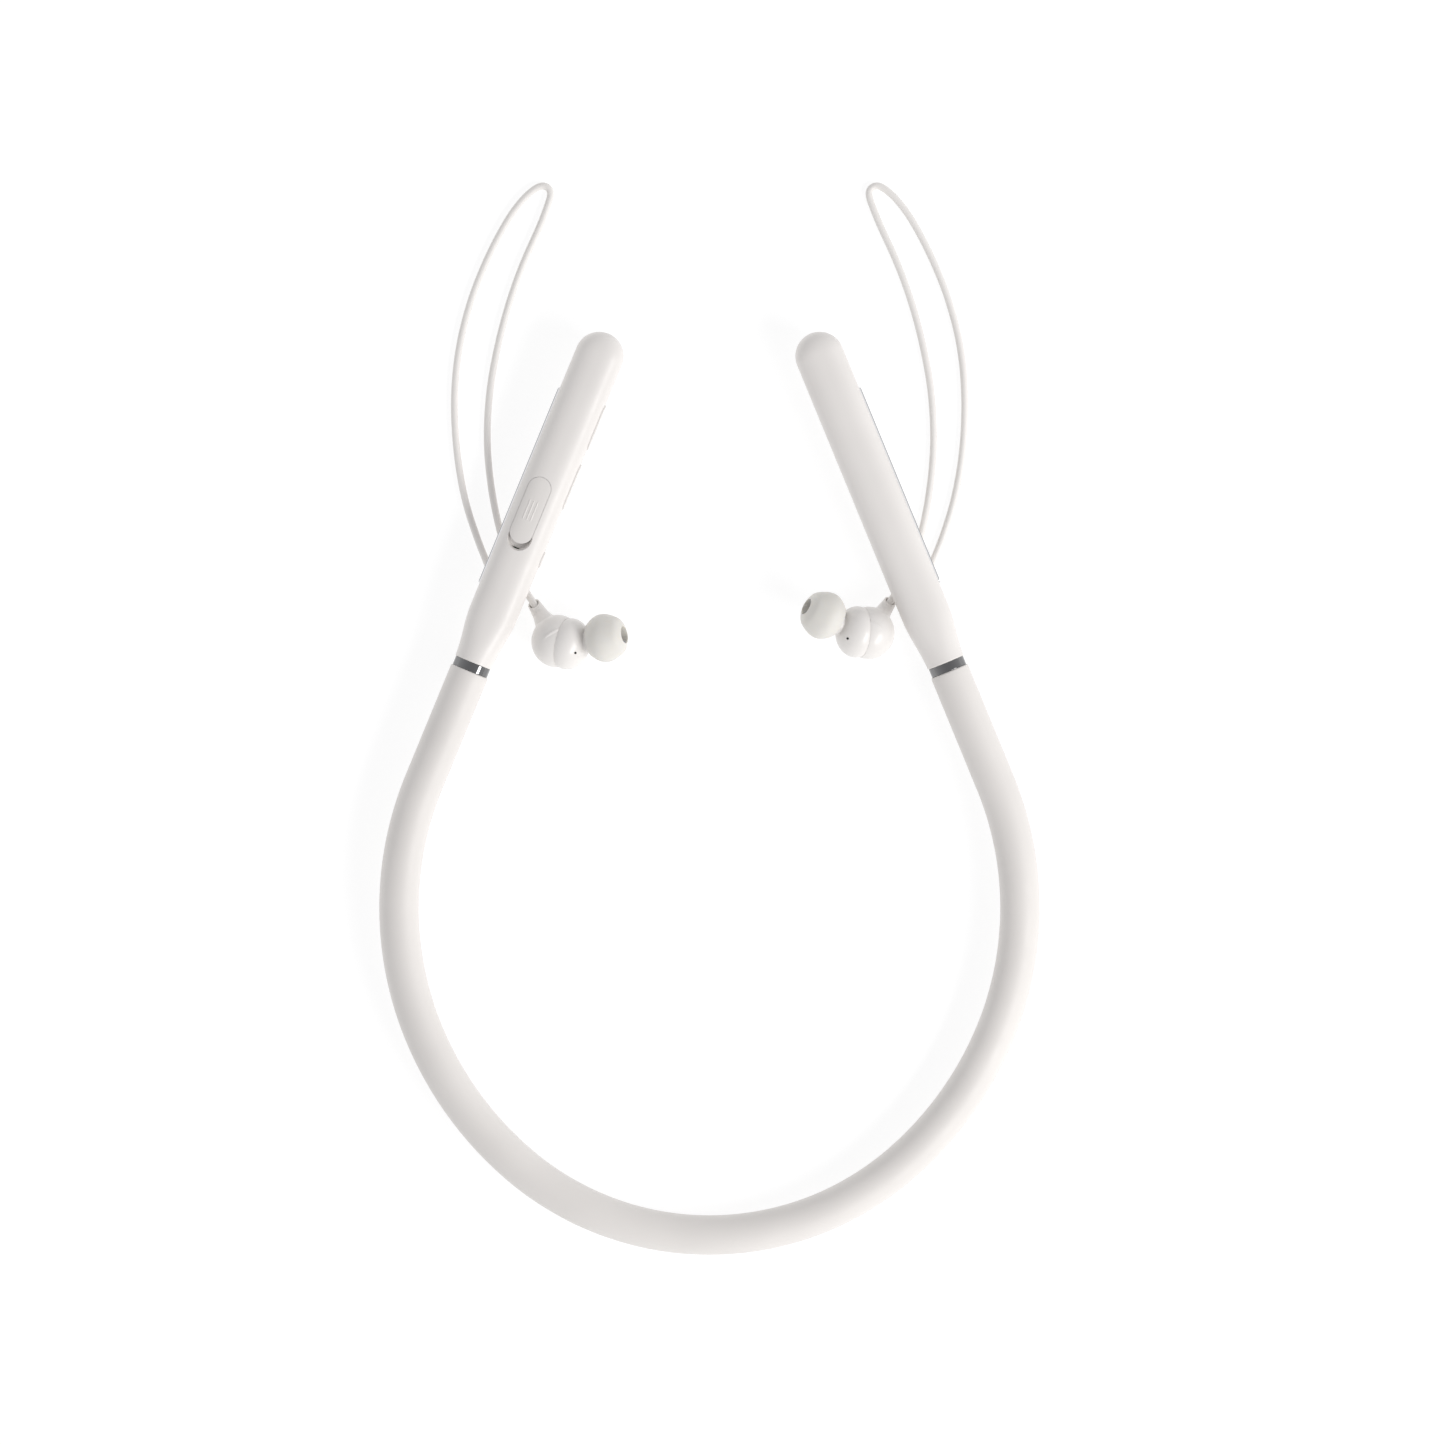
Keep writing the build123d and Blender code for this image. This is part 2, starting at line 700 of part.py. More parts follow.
def make_bud(side):
    """Rear shell, front shell, driver, mesh, magnet, boot and tip of one earbud."""
    name = side_names[side]
    housing = housing_frame(side)
    nozzle = nozzle_frame(side)
    route = left_route if side < 0 else right_route
    end = Vector(*route[-1])
    onward = (end - Vector(*route[-2])).normalized()
    mouth = end - onward * cable_insert
    cap_end = mouth + onward * boot_cap_length
    middle = housing.from_local_coords((rear_middle, 0, 0))
    root = cap_end + onward * (middle - cap_end).dot(onward)
    waist = Plane(origin=housing.from_local_coords((waist_place, 0, 0)), z_dir=housing.x_dir)
    rear_inside = flattened_ball(housing, rear_middle, rear_depth - bud_wall, rear_radius - bud_wall)
    front_inside = flattened_ball(housing, 0, front_depth - bud_wall, front_radius_round - bud_wall)
    driver_end = driver_start + driver_thickness

    with BuildPart() as rear:
        add(flattened_ball(housing, rear_middle, rear_depth, rear_radius))
        add(rod(cap_end, root, boot_groove_radius, boot_root_radius))
        split(bisect_by=waist, keep=Keep.BOTTOM)
        add(rear_inside, mode=Mode.SUBTRACT)
        add(rod(cap_end, root, boot_bore_radius - 0.2), mode=Mode.SUBTRACT)
    save(rear, f"bud_rear_shell_{name}")

    with BuildPart() as front:
        add(flattened_ball(housing, 0, front_depth, front_radius_round))
        add(bud_rod(nozzle, nozzle_start, nozzle_end, nozzle_radius))
        split(bisect_by=waist, keep=Keep.TOP)
        add(front_inside, mode=Mode.SUBTRACT)
        add(bud_rod(housing, waist_place - 1, driver_end, driver_radius + 0.05), mode=Mode.SUBTRACT)
        add(bud_rod(nozzle, nozzle_start - 1, nozzle_end + 1, nozzle_bore_radius), mode=Mode.SUBTRACT)
        vent = housing.from_local_coords((vent_along, 0, -side * vent_aside))
        add(rod(vent + Vector(0, 0, 3), vent + Vector(0, 0, 7), vent_radius), mode=Mode.SUBTRACT)
    save(front, f"bud_front_shell_{name}")

    with BuildPart() as driver:
        add(bud_rod(housing, driver_start, driver_end, driver_radius))
    save(driver, f"bud_driver_{name}")

    with BuildPart() as mesh:
        add(bud_rod(nozzle, mesh_start, mesh_start + mesh_thickness, nozzle_bore_radius))
    save(mesh, f"nozzle_mesh_{name}")

    with BuildPart() as magnet:
        add(bud_rod(housing, magnet_start, magnet_start + magnet_thickness, magnet_radius))
    save(magnet, f"bud_magnet_{name}")

    with BuildPart() as boot:
        add(rod(mouth, cap_end, boot_mouth_radius, boot_groove_radius - 0.05))
        add(rod(mouth, mouth + onward * boot_bore_depth, boot_bore_radius), mode=Mode.SUBTRACT)
    save(boot, f"bud_boot_{name}")

    with BuildPart() as tip:
        with BuildSketch(nozzle):
            with BuildLine():
                tip_outline()
            make_face()
        revolve(axis=Axis(nozzle.origin, nozzle.x_dir))
    save(tip, f"ear_tip_{name}")
    low = min(piece.part.bounding_box().min.Z for piece in (rear, front, tip))
    print(f"bud_{name}: lowest {low:.2f}, mouth {tuple(round(v, 3) for v in mouth)}, axis",
          tuple(round(v, 5) for v in nozzle.x_dir))


for side in side_names:
    make_arm(side)
    make_cable(side)
    make_bud(side)
make_left_controls()
make_right_battery()
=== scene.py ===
"""Neckband earphones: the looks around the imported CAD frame.

Metres, +Z up, table at Z = 0. The neckband and the pods lie in one plane that slopes up by one degree.
"side" is -1 for the left and +1 for the right. On a pod, "along" runs from the middle of its ring to
its free end, "out" towards its outer wall and "up" through its top face. An earbud is shaped about two
axes, the housing's and the nozzle's.
"""
from math import atan, cos, hypot, pi, radians, sin

import bmesh
import bpy
from mathutils import Matrix, Vector


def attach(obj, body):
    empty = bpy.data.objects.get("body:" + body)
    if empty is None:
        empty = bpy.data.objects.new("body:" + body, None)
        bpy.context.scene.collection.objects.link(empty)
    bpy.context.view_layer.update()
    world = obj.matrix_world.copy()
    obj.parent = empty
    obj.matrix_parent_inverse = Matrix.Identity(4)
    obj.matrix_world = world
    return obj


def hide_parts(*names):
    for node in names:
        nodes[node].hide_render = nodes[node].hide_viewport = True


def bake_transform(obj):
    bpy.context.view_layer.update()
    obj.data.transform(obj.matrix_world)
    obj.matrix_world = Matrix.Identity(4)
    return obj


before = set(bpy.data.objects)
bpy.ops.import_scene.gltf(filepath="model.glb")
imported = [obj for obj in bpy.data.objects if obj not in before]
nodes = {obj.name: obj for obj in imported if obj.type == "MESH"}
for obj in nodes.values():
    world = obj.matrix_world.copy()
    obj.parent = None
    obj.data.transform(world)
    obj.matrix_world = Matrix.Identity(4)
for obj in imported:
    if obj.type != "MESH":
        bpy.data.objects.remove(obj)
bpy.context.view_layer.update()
SIDES = {-1: "left", 1: "right"}

# ---- neckband ----
SLEEVE_RADIUS = 0.0045
SLEEVE_LIP = 0.0004
BACK_Y = -0.1005
LIFT = radians(1.0)
BAND_STRETCHES = [  # length and curvature, from the middle of the back to the ring
    (0.0665 * radians(41.0), 1 / 0.0665),
    (0.0795 * radians(26.4), 1 / 0.0795),
    (0.0748 * radians(45.0), 1 / 0.0748),
    (0.0285, 0.0),
]
BAND_LENGTH = sum(length for length, bend in BAND_STRETCHES)
HINGE_PLACE = BAND_STRETCHES[0][0]
BAND_WIRES = [  # piece, CAD node, radius, rise from the centreline, slot
    ("memory_wire", "memory_wire", 0.0006, -0.0009, "steel"),
    ("wire_bundle", "band_wire_bundle", 0.0007, 0.0009, "wire_jacket"),
]

# ---- camera ----
CAMERA_DISTANCE, CAMERA_WIDTH = 1.6, 0.3289  # the width is what the picture spans on the table
CAMERA_AIM = (0.00296, 0.01616)

# ---- ring and pod ----
RING_LENGTH = 0.0021
RING_RADIUS = 0.0042
RING_EDGE = 0.00018
JOINER_RADIUS = 0.003
JOINER_GAP = 0.00003

POD_NECK = 0.0044  # half the pod's width next to the ring
POD_HALF_WIDTH = 0.00555
POD_HALF_HEIGHT = 0.0047
POD_LIP = 0.00025
POD_FULLNESS = 2.4  # 2 is an ellipse, larger is squarer
POD_START = RING_LENGTH / 2
TAPER_LENGTH = 0.012
CAP_CENTRE = 0.0763
POD_WALL = 0.00085
END_WALL = 0.002
JOINER_REACH = 0.0052
FIT_GAP = 0.00012
SEAM_HALF_HEIGHT, SEAM_DEPTH = 0.00006, 0.00014
CUT_TOP = 0.007  # clear above the pod, for cuts from above
STRIP_START, STRIP_END = 0.0181, 0.0666
STRIP_HEIGHT = 0.0022
STRIP_SEAT = 0.00515
STRIP_GAP = 0.00004
STRIP_STEPS = [  # place outwards and shrink of the outline, from the seat to the face
    (STRIP_SEAT + 0.00002, 0.0),
    (0.00543, 0.0),
    (0.00570, 0.00028),
    (0.00586, 0.00030),
    (0.00588, 0.00034),
]
FLAP_START, FLAP_LENGTH, FLAP_WIDTH = 0.030, 0.0159, 0.0054
FLAP_OUT = 0.001
FLAP_FLOOR = 0.0036
FLAP_GAP = 0.00006
SEAT_MARGIN = 0.001
SEAT_SIDES, SEAT_LEVELS = (-0.0022, 0.0036), (0.0022, 0.00375)
RIB_LENGTH, RIB_RADIUS, RIB_SPACING, RIB_SINK = 0.0050, 0.00025, 0.0009, 0.00016
RIB_SLOPE, RIB_ROUNDING = 0.0002, 0.0003
PLUG_LENGTH, PLUG_WIDTH, PLUG_DEPTH = 0.0074, 0.0019, 0.0014
SOCKET_LENGTH, SOCKET_WIDTH = 0.0090, 0.0032
RECESS_PLACE = 0.03135
RECESS_RADIUS = 0.003
RECESS_FLOOR = 0.0029
RECESS_TOP = 0.0052
RECESS_NARROW, RECESS_FLARE = 0.0008, 0.0003
BUTTONS = {"volume_up": (0.0555, 0.0665), "volume_down": (0.0409, 0.0520), "power": (0.0266, 0.0305)}
BUTTON_HEIGHT = 0.0032
BUTTON_PROUD = 0.00025
BUTTON_BACK = 0.0037
BUTTON_FLANGE = 0.0041
BUTTON_EDGE = 0.00022
BUTTON_RIM, BUTTON_RIM_HEIGHT = 0.0006, 0.0009
BUTTON_CUT = (-0.007, -0.003)
SOUND_HOLE_PLACE, SOUND_HOLE_RADIUS = (0.0716, 0, -0.0012), 0.0004
SOUND_HOLE_SPAN = (0.003, 0.007)
GROMMET_LENGTH = 0.006
GROMMET_RADII = (0.0017, 0.00125)
GROMMET_GAP = 0.00004

# ---- true normals of the curved outsides ----
NORMAL_STEP = 2e-6
SKIN_DEPTH = 1.2e-5  # a vertex this near an outside counts as on it
FACE_MATCH = 0.9  # cosine between a face and the normal it may take

# ---- earbuds: the housing's and the nozzle's axes cross at the housing's centre ----
BUD_CENTRES = {-1: Vector((-0.03193, 0.03404, 0.00705)), 1: Vector((0.03343, 0.03674, 0.00705))}
NOZZLE_TURNS = {-1: radians(9.0), 1: radians(153.5)}
NOZZLE_TILT = radians(21.0)
HOUSING_BEND = radians(21.0)
REAR_MIDDLE, REAR_DEPTH, REAR_RADIUS = -0.0030, 0.0058, 0.0060
FRONT_DEPTH, FRONT_RADIUS = 0.0047, 0.00588
WAIST = -0.0013
BUD_WALL = 0.0009
NOZZLE_SPAN = (0.0022, 0.0102)
NOZZLE_RADIUS, NOZZLE_BORE = 0.00245, 0.00175
VENT_PLACE, VENT_RADIUS = (0.0020, -0.0017), 0.00028
VENT_SPAN = (0.003, 0.008)
BORE_OVERRUN = 0.001
CAP_LENGTH = 0.0031
CAP_RADII = (0.00145, 0.00182)
CAP_BORE, CAP_BORE_DEPTH = 0.00115, 0.0024
CAP_BACK = 0.0025  # uncut length behind the mouth, before the slant is cut
CAP_EDGE_LENGTH, CAP_EDGE_DEPTH = 0.00014, 0.00012
MOUTH_SLANT = radians(46)
CABLE_INSERT = 0.0005
HORN_START, HORN_END = 0.00187, 0.0046
HORN_LIFT = 0.00178
HORN_LIP, HORN_LIP_LENGTH = 0.00015, 0.00018
HORN_FLARE, HORN_CROWN = 1.15, 0.0015

# ---- cables: the routes, from the grommet to the boot ----
CABLE_DIAMETER = 0.0016
LEVEL = CABLE_DIAMETER / 2
LEFT_ROUTE = [
    (-0.04940, 0.04917, 0.00200),
    (-0.05075, 0.05250, 0.00125),
    (-0.05290, 0.05780, LEVEL),
    (-0.05590, 0.06680, LEVEL),
    (-0.05770, 0.07740, LEVEL),
    (-0.05840, 0.08900, LEVEL),
    (-0.05750, 0.10060, LEVEL),
    (-0.05480, 0.11190, LEVEL),
    (-0.05080, 0.12200, LEVEL),
    (-0.04640, 0.13040, LEVEL),
    (-0.04320, 0.13490, LEVEL),
    (-0.04040, 0.13760, LEVEL),
    (-0.03830, 0.13875, LEVEL),
    (-0.03675, 0.13825, LEVEL),
    (-0.03610, 0.13675, LEVEL),
    (-0.03695, 0.13400, LEVEL),
    (-0.03875, 0.12920, LEVEL),
    (-0.04260, 0.12090, LEVEL),
    (-0.04590, 0.11160, LEVEL),
    (-0.04840, 0.10200, LEVEL),
    (-0.05030, 0.09160, LEVEL),
    (-0.05090, 0.08000, LEVEL),
    (-0.04980, 0.06880, LEVEL),
    (-0.04750, 0.05820, LEVEL),
    (-0.04460, 0.05010, LEVEL),
    (-0.04192, 0.04622, 0.00153),
    (-0.03975, 0.04275, 0.00285),
]
RIGHT_ROUTE = [
    (0.04940, 0.04917, 0.00200),
    (0.05080, 0.05260, 0.00125),
    (0.05300, 0.05780, LEVEL),
    (0.05590, 0.06680, LEVEL),
    (0.05780, 0.07740, LEVEL),
    (0.05840, 0.08900, LEVEL),
    (0.05760, 0.10060, LEVEL),
    (0.05490, 0.11190, LEVEL),
    (0.05090, 0.12200, LEVEL),
    (0.04650, 0.13040, LEVEL),
    (0.04330, 0.13490, LEVEL),
    (0.04050, 0.13760, LEVEL),
    (0.03840, 0.13875, LEVEL),
    (0.03685, 0.13825, LEVEL),
    (0.03620, 0.13675, LEVEL),
    (0.03710, 0.13400, LEVEL),
    (0.03905, 0.12920, LEVEL),
    (0.04295, 0.12090, LEVEL),
    (0.04630, 0.11160, LEVEL),
    (0.04880, 0.10200, LEVEL),
    (0.05070, 0.09160, LEVEL),
    (0.05130, 0.08000, LEVEL),
    (0.05030, 0.06880, LEVEL),
    (0.04830, 0.05860, LEVEL),
    (0.04590, 0.05160, LEVEL),
    (0.04318, 0.04668, 0.00103),
    (0.04094, 0.04337, 0.00264),
]


# ---- frames and places ----
def band_place(side, distance):
    """The band's centreline at a distance from the middle of the back: x, y and heading in its own plane."""
    x, y, heading = 0.0, 0.0, 0.0
    for length, bend in BAND_STRETCHES:
        step = max(0.0, min(distance, length))
        if bend:
            x += (sin(heading + bend * step) - sin(heading)) / bend
            y += (cos(heading) - cos(heading + bend * step)) / bend
            heading += bend * step
        else:
            x += cos(heading) * step
            y += sin(heading) * step
        distance -= step
    return side * x, y, heading


def neck_vector(x, y, z):
    """A direction given in the neckband's sloping plane."""
    return Vector((x, y * cos(LIFT) - z * sin(LIFT), y * sin(LIFT) + z * cos(LIFT)))


def neck_point(x, y, z):
    """A point given in the neckband's sloping plane."""
    return Vector((0, BACK_Y, SLEEVE_RADIUS)) + neck_vector(x, y, z)


def axes_at(origin, x_axis, y_axis, z_axis):
    """A placing matrix from an origin and three axes."""
    return Matrix.Translation(origin) @ Matrix((x_axis, y_axis, z_axis)).transposed().to_4x4()


def pod_axes(side):
    """A pod's frame: X along, Y out, Z up, from the middle of its ring."""
    x, y, heading = band_place(side, BAND_LENGTH)
    along = neck_vector(side * cos(heading), sin(heading), 0)
    out = neck_vector(side * sin(heading), -cos(heading), 0)
    return axes_at(neck_point(x, y, 0), along, out, neck_vector(0, 0, 1))


# ---- mesh helpers ----
def make_object(name, vertices, faces, sharp=radians(40)):
    """A mesh object, smooth except at edges sharper than the given angle."""
    data = bpy.data.meshes.new(name)
    data.from_pydata([tuple(v) for v in vertices], [], faces)
    shape = bmesh.new()
    shape.from_mesh(data)
    bmesh.ops.recalc_face_normals(shape, faces=shape.faces)
    shape.to_mesh(data)
    shape.free()
    data.shade_smooth()
    data.set_sharp_from_angle(angle=sharp)
    made = bpy.data.objects.new(name, data)
    bpy.context.scene.collection.objects.link(made)
    return made


def loft_rings(name, rings, closed=False, sharp=radians(40)):
    """A skin over rings of points. A ring of one point is a pole; open ends are capped."""
    vertices, faces, starts = [], [], []
    for ring in rings:
        starts.append(len(vertices))
        vertices.extend(ring)
    pairs = list(zip(range(len(rings)), range(1, len(rings))))
    if closed:
        pairs.append((len(rings) - 1, 0))
    for here, there in pairs:
        a, b = starts[here], starts[there]
        count = max(len(rings[here]), len(rings[there]))
        for i in range(count):
            j = (i + 1) % count
            if len(rings[here]) == 1:
                faces.append((a, b + j, b + i))
            elif len(rings[there]) == 1:
                faces.append((a + i, a + j, b))
            else:
                faces.append((a + i, a + j, b + j, b + i))
    if not closed:
        for index in (0, -1):
            if len(rings[index]) > 1:
                first = starts[index]
                faces.append(tuple(range(first, first + len(rings[index]))))
    return make_object(name, vertices, faces, sharp)


def circle(centre, across, up, radius, count):
    """A ring of points round a centre."""
    turns = [2 * pi * i / count for i in range(count)]
    return [centre + across * (radius * cos(t)) + up * (radius * sin(t)) for t in turns]


def turned(name, place, profile, count=96, closed=False, sharp=radians(40)):
    """A lathe-turned piece: profile holds (along, radius) pairs about the X axis of a placing matrix."""
    rings = []
    for along, radius in profile:
        if radius < 1e-7:
            rings.append([place @ Vector((along, 0, 0))])
        else:
            centre = Vector((along, 0, 0))
            ring = circle(centre, Vector((0, 1, 0)), Vector((0, 0, 1)), radius, count)
            rings.append([place @ point for point in ring])
    return loft_rings(name, rings, closed, sharp)


def rod_profile(first, last, radius):
    """A plain rod's profile, closed at both ends."""
    return [(first, 0), (first, radius), (last, radius), (last, 0)]


def rounded(profile, radius, steps=4):
    """A profile whose inner corners are rounded off by up to the given radius."""
    made = [profile[0]]
    for before, here, after in zip(profile, profile[1:], profile[2:]):
        back = (before[0] - here[0], before[1] - here[1])
        on = (after[0] - here[0], after[1] - here[1])
        reach = min(radius, 0.45 * hypot(*back), 0.45 * hypot(*on))
        start = (here[0] + back[0] * reach / hypot(*back), here[1] + back[1] * reach / hypot(*back))
        end = (here[0] + on[0] * reach / hypot(*on), here[1] + on[1] * reach / hypot(*on))
        for step in range(steps + 1):
            t = step / steps
            weights = ((1 - t) ** 2, 2 * t * (1 - t), t * t)
            made.append(tuple(sum(w * p[k] for w, p in zip(weights, (start, here, end))) for k in (0, 1)))
    made.append(profile[-1])
    return made


# ---- materials ----
def new_material(name, colour, roughness):
    """A Principled material and the handles that the finishes below need."""
    made = bpy.data.materials.new(name)
    made.use_nodes = True
    tree = made.node_tree
    shader = tree.nodes["Principled BSDF"]
    shader.inputs["Base Color"].default_value = (*colour, 1)
    shader.inputs["Roughness"].default_value = roughness
    return made, tree, shader


def noise(tree, scale, detail=3.0, stretch=(1, 1, 1)):
    """A noise texture in metres on the object, optionally stretched."""
    place = tree.nodes.new("ShaderNodeTexCoord")
    mapping = tree.nodes.new("ShaderNodeMapping")
    mapping.inputs["Scale"].default_value = stretch
    texture = tree.nodes.new("ShaderNodeTexNoise")
    texture.inputs["Scale"].default_value = scale
    texture.inputs["Detail"].default_value = detail
    tree.links.new(place.outputs["Object"], mapping.inputs["Vector"])
    tree.links.new(mapping.outputs["Vector"], texture.inputs["Vector"])
    return texture


def vary_colour(tree, shader, source, low, high):
    """Base colour between two tones, by a texture."""
    ramp = tree.nodes.new("ShaderNodeValToRGB")
    ramp.color_ramp.elements[0].position = 0.3
    ramp.color_ramp.elements[0].color = (*low, 1)
    ramp.color_ramp.elements[1].position = 0.7
    ramp.color_ramp.elements[1].color = (*high, 1)
    tree.links.new(source.outputs["Fac"], ramp.inputs["Fac"])
    tree.links.new(ramp.outputs["Color"], shader.inputs["Base Color"])


def vary_roughness(tree, shader, source, low, high):
    """Roughness between two values, by a texture."""
    span = tree.nodes.new("ShaderNodeMapRange")
    span.inputs["From Min"].default_value = 0.3
    span.inputs["From Max"].default_value = 0.7
    span.inputs["To Min"].default_value = low
    span.inputs["To Max"].default_value = high
    tree.links.new(source.outputs["Fac"], span.inputs["Value"])
    tree.links.new(span.outputs["Result"], shader.inputs["Roughness"])


def emboss(tree, shader, source, strength, depth):
    """Bump of a real depth in metres, by a texture."""
    bump = tree.nodes.new("ShaderNodeBump")
    bump.inputs["Strength"].default_value = strength
    bump.inputs["Distance"].default_value = depth
    tree.links.new(source.outputs["Fac"], bump.inputs["Height"])
    tree.links.new(bump.outputs["Normal"], shader.inputs["Normal"])


def moulded(name, colour, roughness, grain, depth, spread=0.02, coat=0.0):
    """Moulded plastic or rubber: slight blotches of tone and gloss, and a fine even grain."""
    made, tree, shader = new_material(name, colour, roughness)
    blotch = noise(tree, 55.0, 2.0)
    vary_colour(tree, shader, blotch, [c * (1 - spread) for c in colour], [c * (1 + spread) for c in colour])
    vary_roughness(tree, shader, noise(tree, 240.0, 4.0), roughness * 0.88, roughness * 1.12)
    emboss(tree, shader, noise(tree, grain, 2.0), 0.35, depth)
    shader.inputs["Coat Weight"].default_value = coat
    shader.inputs["Coat Roughness"].default_value = 0.12
    return made


def make_materials():
    """One material for each slot of the record."""
    made = {}
    made["sleeve_silicone"] = moulded("sleeve_silicone", (0.74, 0.712, 0.687), 0.52, 5200.0, 0.000012)
    made["sleeve_silicone"].node_tree.nodes["Principled BSDF"].inputs["Sheen Weight"].default_value = 0.12
    made["pod_plastic"] = moulded("pod_plastic", (0.79, 0.762, 0.738), 0.42, 6500.0, 0.000006, coat=0.04)
    made["cable_tpe"] = moulded("cable_tpe", (0.82, 0.795, 0.77), 0.46, 7000.0, 0.00001)
    made["bud_plastic"] = moulded("bud_plastic", (0.81, 0.786, 0.762), 0.34, 6500.0, 0.000003, coat=0.12)
    made["flap_silicone"] = moulded("flap_silicone", (0.77, 0.742, 0.717), 0.5, 5200.0, 0.00001)
    made["button_plastic"] = moulded("button_plastic", (0.79, 0.762, 0.738), 0.42, 6500.0, 0.000006, coat=0.04)
    made["black_plastic"] = moulded("black_plastic", (0.02, 0.02, 0.022), 0.5, 5200.0, 0.00001, 0.2)

    tip = moulded("tip_silicone", (0.73, 0.712, 0.672), 0.55, 5200.0, 0.000008)
    shader = tip.node_tree.nodes["Principled BSDF"]
    shader.inputs["Subsurface Weight"].default_value = 0.25
    shader.inputs["Subsurface Radius"].default_value = (1.0, 0.9, 0.7)
    shader.inputs["Subsurface Scale"].default_value = 0.0008
    made["tip_silicone"] = tip

    for name, colour, roughness in (
        ("chrome", (0.21, 0.21, 0.214), 0.08),
        ("bright_trim", (0.72, 0.72, 0.73), 0.12),
        ("steel", (0.5, 0.5, 0.51), 0.3),
        ("magnet_nickel", (0.55, 0.53, 0.48), 0.22),
    ):
        metal, tree, shader = new_material(name, colour, roughness)
        shader.inputs["Metallic"].default_value = 1.0
        vary_roughness(tree, shader, noise(tree, 900.0, 4.0), roughness * 0.7, roughness * 1.3)
        emboss(tree, shader, noise(tree, 9000.0, 2.0, (1, 1, 0.15)), 0.03, 0.000001)
        made[name] = metal

    board, tree, shader = new_material("circuit_board", (0.02, 0.12, 0.06), 0.35)
    traces = tree.nodes.new("ShaderNodeTexVoronoi")
    traces.feature = "DISTANCE_TO_EDGE"
    traces.inputs["Scale"].default_value = 700.0
    place = tree.nodes.new("ShaderNodeTexCoord")
    ramp = tree.nodes.new("ShaderNodeValToRGB")
    ramp.color_ramp.elements[0].color = (0.05, 0.22, 0.1, 1)
    ramp.color_ramp.elements[0].position = 0.05
    ramp.color_ramp.elements[1].color = (0.015, 0.1, 0.05, 1)
    ramp.color_ramp.elements[1].position = 0.09
    tree.links.new(place.outputs["Object"], traces.inputs["Vector"])
    tree.links.new(traces.outputs["Distance"], ramp.inputs["Fac"])
    tree.links.new(ramp.outputs["Color"], shader.inputs["Base Color"])
    made["circuit_board"] = board

    screen, tree, shader = new_material("mesh_screen", (0.05, 0.05, 0.05), 0.4)
    shader.inputs["Metallic"].default_value = 1.0
    holes = tree.nodes.new("ShaderNodeTexVoronoi")
    holes.inputs["Scale"].default_value = 4200.0
    holes.inputs["Randomness"].default_value = 0.0
    place = tree.nodes.new("ShaderNodeTexCoord")
    ramp = tree.nodes.new("ShaderNodeValToRGB")
    ramp.color_ramp.elements[0].color = (0.004, 0.004, 0.004, 1)
    ramp.color_ramp.elements[0].position = 0.3
    ramp.color_ramp.elements[1].color = (0.16, 0.16, 0.16, 1)
    ramp.color_ramp.elements[1].position = 0.42
    tree.links.new(place.outputs["Object"], holes.inputs["Vector"])
    tree.links.new(holes.outputs["Distance"], ramp.inputs["Fac"])
    tree.links.new(ramp.outputs["Color"], shader.inputs["Base Color"])
    made["mesh_screen"] = screen

    foil, tree, shader = new_material("battery_wrap", (0.5, 0.51, 0.53), 0.35)
    shader.inputs["Metallic"].default_value = 0.7
    emboss(tree, shader, noise(tree, 350.0, 4.0), 0.5, 0.00008)
    vary_roughness(tree, shader, noise(tree, 200.0), 0.25, 0.45)
    made["battery_wrap"] = foil

    jacket, tree, shader = new_material("wire_jacket", (0.3, 0.03, 0.02), 0.45)
    strands = tree.nodes.new("ShaderNodeTexWave")
    strands.inputs["Scale"].default_value = 260.0
    strands.inputs["Distortion"].default_value = 2.0
    place = tree.nodes.new("ShaderNodeTexCoord")
    tree.links.new(place.outputs["Object"], strands.inputs["Vector"])
    vary_colour(tree, shader, strands, (0.22, 0.02, 0.015), (0.02, 0.02, 0.022))
    made["wire_jacket"] = jacket
    return made


def dress(piece, slot, finish=None):
    """Give a piece a slot's material, or another finish of it."""
    piece.data.materials.clear()
    piece.data.materials.append(materials[finish or slot])
    return piece


def dress_cad_nodes():
    """Swap each carried-over CAD node's plain material for the finished one of the same slot."""
    for name, node in nodes.items():
        for place in node.material_slots:
            plain = place.material.name.split(".")[0]
            place.material = materials["mesh_screen" if name.startswith("nozzle_mesh") else plain]


# ---- camera, floor and light ----
def make_camera():
    """Straight down on the table from a long way up, the top of the picture towards +Y."""
    data = bpy.data.cameras.new("camera")
    data.angle = 2 * atan(CAMERA_WIDTH / 2 / CAMERA_DISTANCE)
    data.clip_start, data.clip_end = 0.05, 20
    camera = bpy.data.objects.new("camera", data)
    camera.location = (*CAMERA_AIM, CAMERA_DISTANCE + SLEEVE_RADIUS)
    bpy.context.scene.collection.objects.link(camera)
    bpy.context.scene.camera = camera


def make_floor():
    """A plain pale table top."""
    reach = 4.0
    corners = [(-reach, -reach, 0), (reach, -reach, 0), (reach, reach, 0), (-reach, reach, 0)]
    floor = make_object("floor", corners, [(0, 1, 2, 3)])
    made, tree, shader = new_material("floor", (0.33, 0.33, 0.33), 0.8)
    shader.inputs["Specular IOR Level"].default_value = 0.1
    shader.inputs["Emission Color"].default_value = (1, 1, 1, 1)
    shader.inputs["Emission Strength"].default_value = 0.76
    vary_roughness(tree, shader, noise(tree, 12.0), 0.75, 0.85)
    floor.data.materials.append(made)


